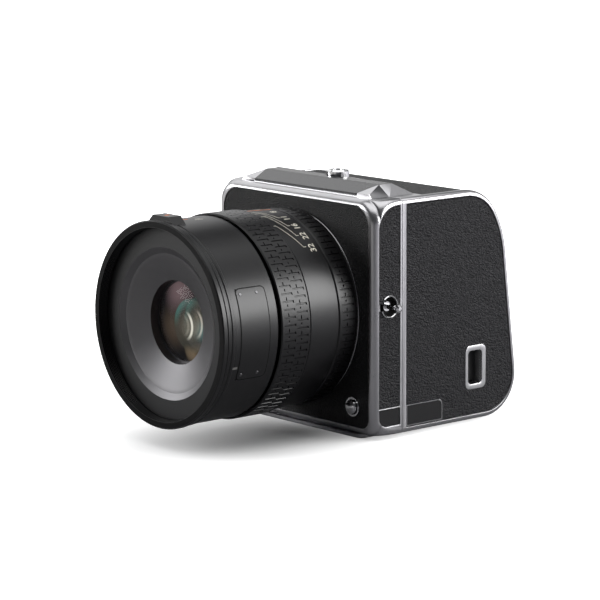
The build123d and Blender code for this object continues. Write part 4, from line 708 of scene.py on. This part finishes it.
def rounded_patch(name, grow, height, material):
    """Rounded rectangle laid on the barrel beside the lens, larger all round by grow. Rows run along the arc.
    Each row's half length is the rectangle's, less the corner radius, plus the root of the corner radius
    squared less the square of how far the row reaches into the corner."""
    corner = BADGE_CORNER + grow
    half_arc = BADGE_HALF_ARC + grow
    into = np.linspace(0, 1, CORNER_ROWS) * corner
    arc = np.concatenate([-half_arc + into[:-1],
                          np.linspace(-half_arc + corner, half_arc - corner, ARC_ROWS),
                          half_arc - into[:-1][::-1]])[:, None]
    past = np.clip(np.abs(arc) - (half_arc - corner), 0, corner)
    half_length = BADGE_HALF_LENGTH + grow - corner + np.sqrt(corner ** 2 - past ** 2)
    reach = BADGE_MIDDLE + half_length * np.linspace(-1, 1, LENGTH_STEPS)[None, :]
    turn = BADGE_TURN - np.degrees(arc / BARREL_RADIUS) + 0 * reach
    points = on_lens(BARREL_RADIUS + height + 0 * turn, reach, turn).reshape(-1, 3)
    return piece(name, points, grid_faces(len(arc), LENGTH_STEPS, False, False), material, "camera")


badge = rounded_patch("badge_plate_curved", 0, BADGE_RISE, lens_black)
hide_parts("badge_plate")
rounded_patch("badge_groove", GROOVE_WIDTH, GROOVE_RISE, groove_black)

# Name ring with a bevelled bore, and the cone's lip, which carries the cone's slope over that bevel
EDGE_WIDTH = 0.85
SKIN = 0.02
name_profile = [(NAME_BACK, NAME_OUTER), (NAME_FACE, NAME_OUTER), (NAME_FACE, NAME_BORE + EDGE_WIDTH),
                (NAME_BACK + SKIN, NAME_BORE)]
name_piece = turned("name_ring_bevelled", name_profile, RING_STEPS, name_grey_painted_shade, "camera")
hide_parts("name_ring")
lip_profile = [(NAME_FACE - 0.6, NAME_BORE + 0.8), (NAME_FACE + SKIN, NAME_BORE + 0.86),
               (NAME_FACE - 1.3, NAME_BORE - 1.5), (NAME_FACE - 1.6, NAME_BORE - 1.4)]
turned("cone_lip", lip_profile, RING_STEPS, cone_black, "camera")

# Front face of the rim, laid just over the barrel's own
RIM_OUTER = BARREL_RADIUS + 0.7
RIM_BACK = LENS_FRONT - 0.5
RIM_FACE = LENS_FRONT + 0.03
rim_profile = [(RIM_BACK, RIM_OUTER - 0.28), (RIM_FACE, RIM_OUTER - 0.5), (RIM_FACE, THREAD_RADIUS + 0.15),
               (RIM_BACK, THREAD_RADIUS - 0.02)]
turned("rim_face", rim_profile, RING_STEPS, rim_black, "camera")


def pad_radius(reach):
    """Radius of the flat pad on top of the barrel, at its middle."""
    return PAD_RADIUS + 0 * reach


ribbon("pad_dot", [(LENS_FRONT - 5.4, 0.5), (LENS_FRONT - 4.4, 0.5)], 1.1, pad_radius, mark_orange)
screw_places = [(reach, BADGE_TURN + way * SCREW_TURN)
                for reach in (BADGE_FRONT - SCREW_INSET, BADGE_BACK + SCREW_INSET) for way in (-1, 1)]
for number, (reach, turn) in enumerate(screw_places):
    badge_screw("badge_screw_%d" % (number + 1), reach, turn)

# Painted shade in the strap cups: dark sheets laid just over the cups' floors, as rings of (depth below the side,
# radius) about the stud
CUP_RINGS = ((2.5, 1.05), (2.3, 1.9), (2.2, 2.6), (1.2, 3.2), (0.35, 3.62))
CUP_STEPS = 48
cup_below, cup_radius = (column[:, None] for column in np.array(CUP_RINGS).T)
cup_spin = np.radians(np.arange(CUP_STEPS) * 360 / CUP_STEPS)[None, :]
cup_y = CUP_MIDDLE_Y + cup_radius * np.cos(cup_spin)
cup_z = CUP_MIDDLE_Z + cup_radius * np.sin(cup_spin)
cup_faces = grid_faces(len(CUP_RINGS), CUP_STEPS, False, True)
# Each cup gets a dark sheet of painted shade over its floor
for side, side_name in ((1, "right"), (-1, "left")):
    painted_shade_dish = np.stack([side * (CUP_FACE - cup_below) + 0 * cup_y, cup_y, cup_z], axis=-1).reshape(-1, 3)
    piece("strap_cup_floor_" + side_name, painted_shade_dish, cup_faces[:, ::-side], groove_black, "camera")

# Floor, light and view. The floor's glow dips under the lens and near the body, so that shadow shows there
# and the rest goes to white. Gloss sees a glow at the studio's back and a weaker one at its front. Metres on
# the floor; BACK_WAY leads from the object to the studio's back.
FLOOR_SIZE = 6.0
DIP_MIDDLE = (0.008, -0.055)
DIP_HALF = (0.020, 0.030)
DIP_EDGES = (0.35, 3.0)
CLEAR_EDGES = (0.09, 0.32)
BEHIND_EDGES = (0.05, 0.55)
BEFORE_EDGES = (0.08, 0.35)
BACK_WAY = (0.75, 0.66)
BLACK = (0.0, 0.0, 0.0)
WHITE = (1.0, 1.0, 1.0)


def light_path(finish):
    """Two wires: 1 for the camera's own rays and those that glass lets through, and 1 for rays that gloss
    throws back."""
    path = finish.tree.nodes.new("ShaderNodeLightPath")
    own, through, thrown = (Wire(finish, path.outputs[name])
                            for name in ("Is Camera Ray", "Is Transmission Ray", "Is Glossy Ray"))
    return finish.math_max(own, through), thrown


def stage_floor():
    """Pale floor that lifts itself to white for the camera and keeps the object's shadow."""
    finish = Finish("pale_floor")
    seen, thrown = light_path(finish)
    across = finish.split(finish.place, 0)
    along = finish.split(finish.place, 1)
    dip_across = (across - DIP_MIDDLE[0]) / DIP_HALF[0]
    dip_along = (along - DIP_MIDDLE[1]) / DIP_HALF[1]
    under = (dip_across ** 2 + dip_along ** 2) ** 0.5
    away = (across * across + along * along) ** 0.5
    backwards = across * BACK_WAY[0] + along * BACK_WAY[1]
    behind = backwards.step(*BEHIND_EDGES)
    before = (backwards * -1).step(*BEFORE_EDGES)
    shade = finish.noise(0.5) * 0.05
    near_glow = finish.blend(under.step(*DIP_EDGES), BLACK, (0.75, 0.75, 0.75))
    glow = finish.blend(away.step(*CLEAR_EDGES), near_glow, (1.3, 1.3, 1.3))
    mirror_glow = finish.blend(before, BLACK, (0.38, 0.37, 0.35))
    mirror_glow = finish.blend(behind, mirror_glow, (0.54, 0.53, 0.57))
    pale = finish.blend(shade, (0.82, 0.82, 0.82), (0.8, 0.8, 0.8))
    shown = finish.blend(thrown, BLACK, mirror_glow)
    finish.set(base=finish.blend(seen, (0.25, 0.25, 0.26), pale), roughness=0.7, specular=0.1,
               emission=finish.blend(seen, shown, glow), glow=1.0)
    half = FLOOR_SIZE / 2
    corners = [(-half, -half, 0), (half, -half, 0), (half, half, 0), (-half, half, 0)]
    mesh = bpy.data.meshes.new("floor")
    mesh.from_pydata(corners, [], [(0, 1, 2, 3)])
    mesh.materials.append(finish.material)
    floor = bpy.data.objects.new("floor", mesh)
    bpy.context.scene.collection.objects.link(floor)


stage_floor()

# View: turn, rise and roll in degrees, distance and target in metres, focal length in millimetres, and the
# place of the optical centre in the picture in pixels
VIEW_TURN = 49.25
VIEW_RISE = 9.76
VIEW_ROLL = -0.24
VIEW_DISTANCE = 1.07568
VIEW_TARGET = Vector((0.00709, -0.030, 0.05128))
FOCAL_LENGTH = 170.26
SENSOR_WIDTH = 36.0
IMAGE_SIZE = 600
OPTICAL_CENTRE = (307.01, 294.32)


def aim(thing, roll=0.0):
    """Turns a lamp or camera so that it looks at the target with +Z up."""
    upright = (VIEW_TARGET - thing.location).to_track_quat("-Z", "Y").to_matrix()
    thing.rotation_euler = (upright @ Matrix.Rotation(math.radians(roll), 3, "Z")).to_euler()


def round_the_object(turn, rise, distance):
    """Point at a turn from -Y to +X, a rise above the horizon and a distance from the target."""
    turn, rise = math.radians(turn), math.radians(rise)
    way = Vector((math.sin(turn) * math.cos(rise), -math.cos(turn) * math.cos(rise), math.sin(rise)))
    return VIEW_TARGET + way * distance


camera_data = bpy.data.cameras.new("camera")
camera_data.lens = FOCAL_LENGTH
camera_data.sensor_width = SENSOR_WIDTH
camera_data.shift_x = -(OPTICAL_CENTRE[0] - IMAGE_SIZE / 2) / IMAGE_SIZE
camera_data.shift_y = (OPTICAL_CENTRE[1] - IMAGE_SIZE / 2) / IMAGE_SIZE
camera = bpy.data.objects.new("camera", camera_data)
bpy.context.scene.collection.objects.link(camera)
camera.location = round_the_object(VIEW_TURN, VIEW_RISE, VIEW_DISTANCE)
aim(camera, VIEW_ROLL)
bpy.context.scene.camera = camera


def softbox(name, turn, rise, distance, width, height, power):
    """Soft rectangular lamp looking at the object."""
    lamp = bpy.data.lights.new(name, "AREA")
    lamp.shape = "RECTANGLE"
    lamp.size = width
    lamp.size_y = height
    lamp.energy = power
    placed = bpy.data.objects.new(name, lamp)
    bpy.context.scene.collection.objects.link(placed)
    placed.location = round_the_object(turn, rise, distance)
    aim(placed)


# Lamps: turn and rise in degrees, distance, width and height in metres, power in watts
LAMPS = {"key_box": (133, 18, 1.15, 0.95, 0.5, 12), "back_box": (162, 46, 1.2, 1.3, 0.8, 1.2),
         "side_box": (-105, 38, 1.3, 1.2, 0.8, 3.6), "top_box": (60, 80, 1.1, 1.6, 1.2, 9),
         "left_box": (-52, 17, 1.2, 0.8, 0.4, 8)}
for name, values in LAMPS.items():
    softbox(name, *values)


class World(Finish):
    """The studio round the floor: the same wires as a finish, on the world's own nodes."""

    def __init__(self, name):
        world = bpy.data.worlds.new(name)
        world.use_nodes = True
        bpy.context.scene.world = world
        self.tree = world.node_tree
        self.shader = self.tree.nodes["Background"]
        self.place = self.node("ShaderNodeTexCoord", output="Generated")


# What gloss sees round the floor: a white backdrop at +Y, from the horizon up to its soft top edge, in a dim room
BACKDROP_TOP = (0.10, 0.42)
BACKDROP_SIDES = (0.0, 0.5)
ROOM = (0.05, 0.052, 0.056)
studio = World("studio")
rise = studio.split(studio.place, 2)
towards = studio.split(studio.place, 1)
seen, thrown = light_path(studio)
backdrop = (1 - rise.step(*BACKDROP_TOP)) * towards.step(*BACKDROP_SIDES)
studio.put(studio.shader.inputs["Color"],
           studio.blend(studio.math_max(seen, thrown * backdrop), ROOM, WHITE))

bpy.context.scene.view_settings.view_transform = "Standard"
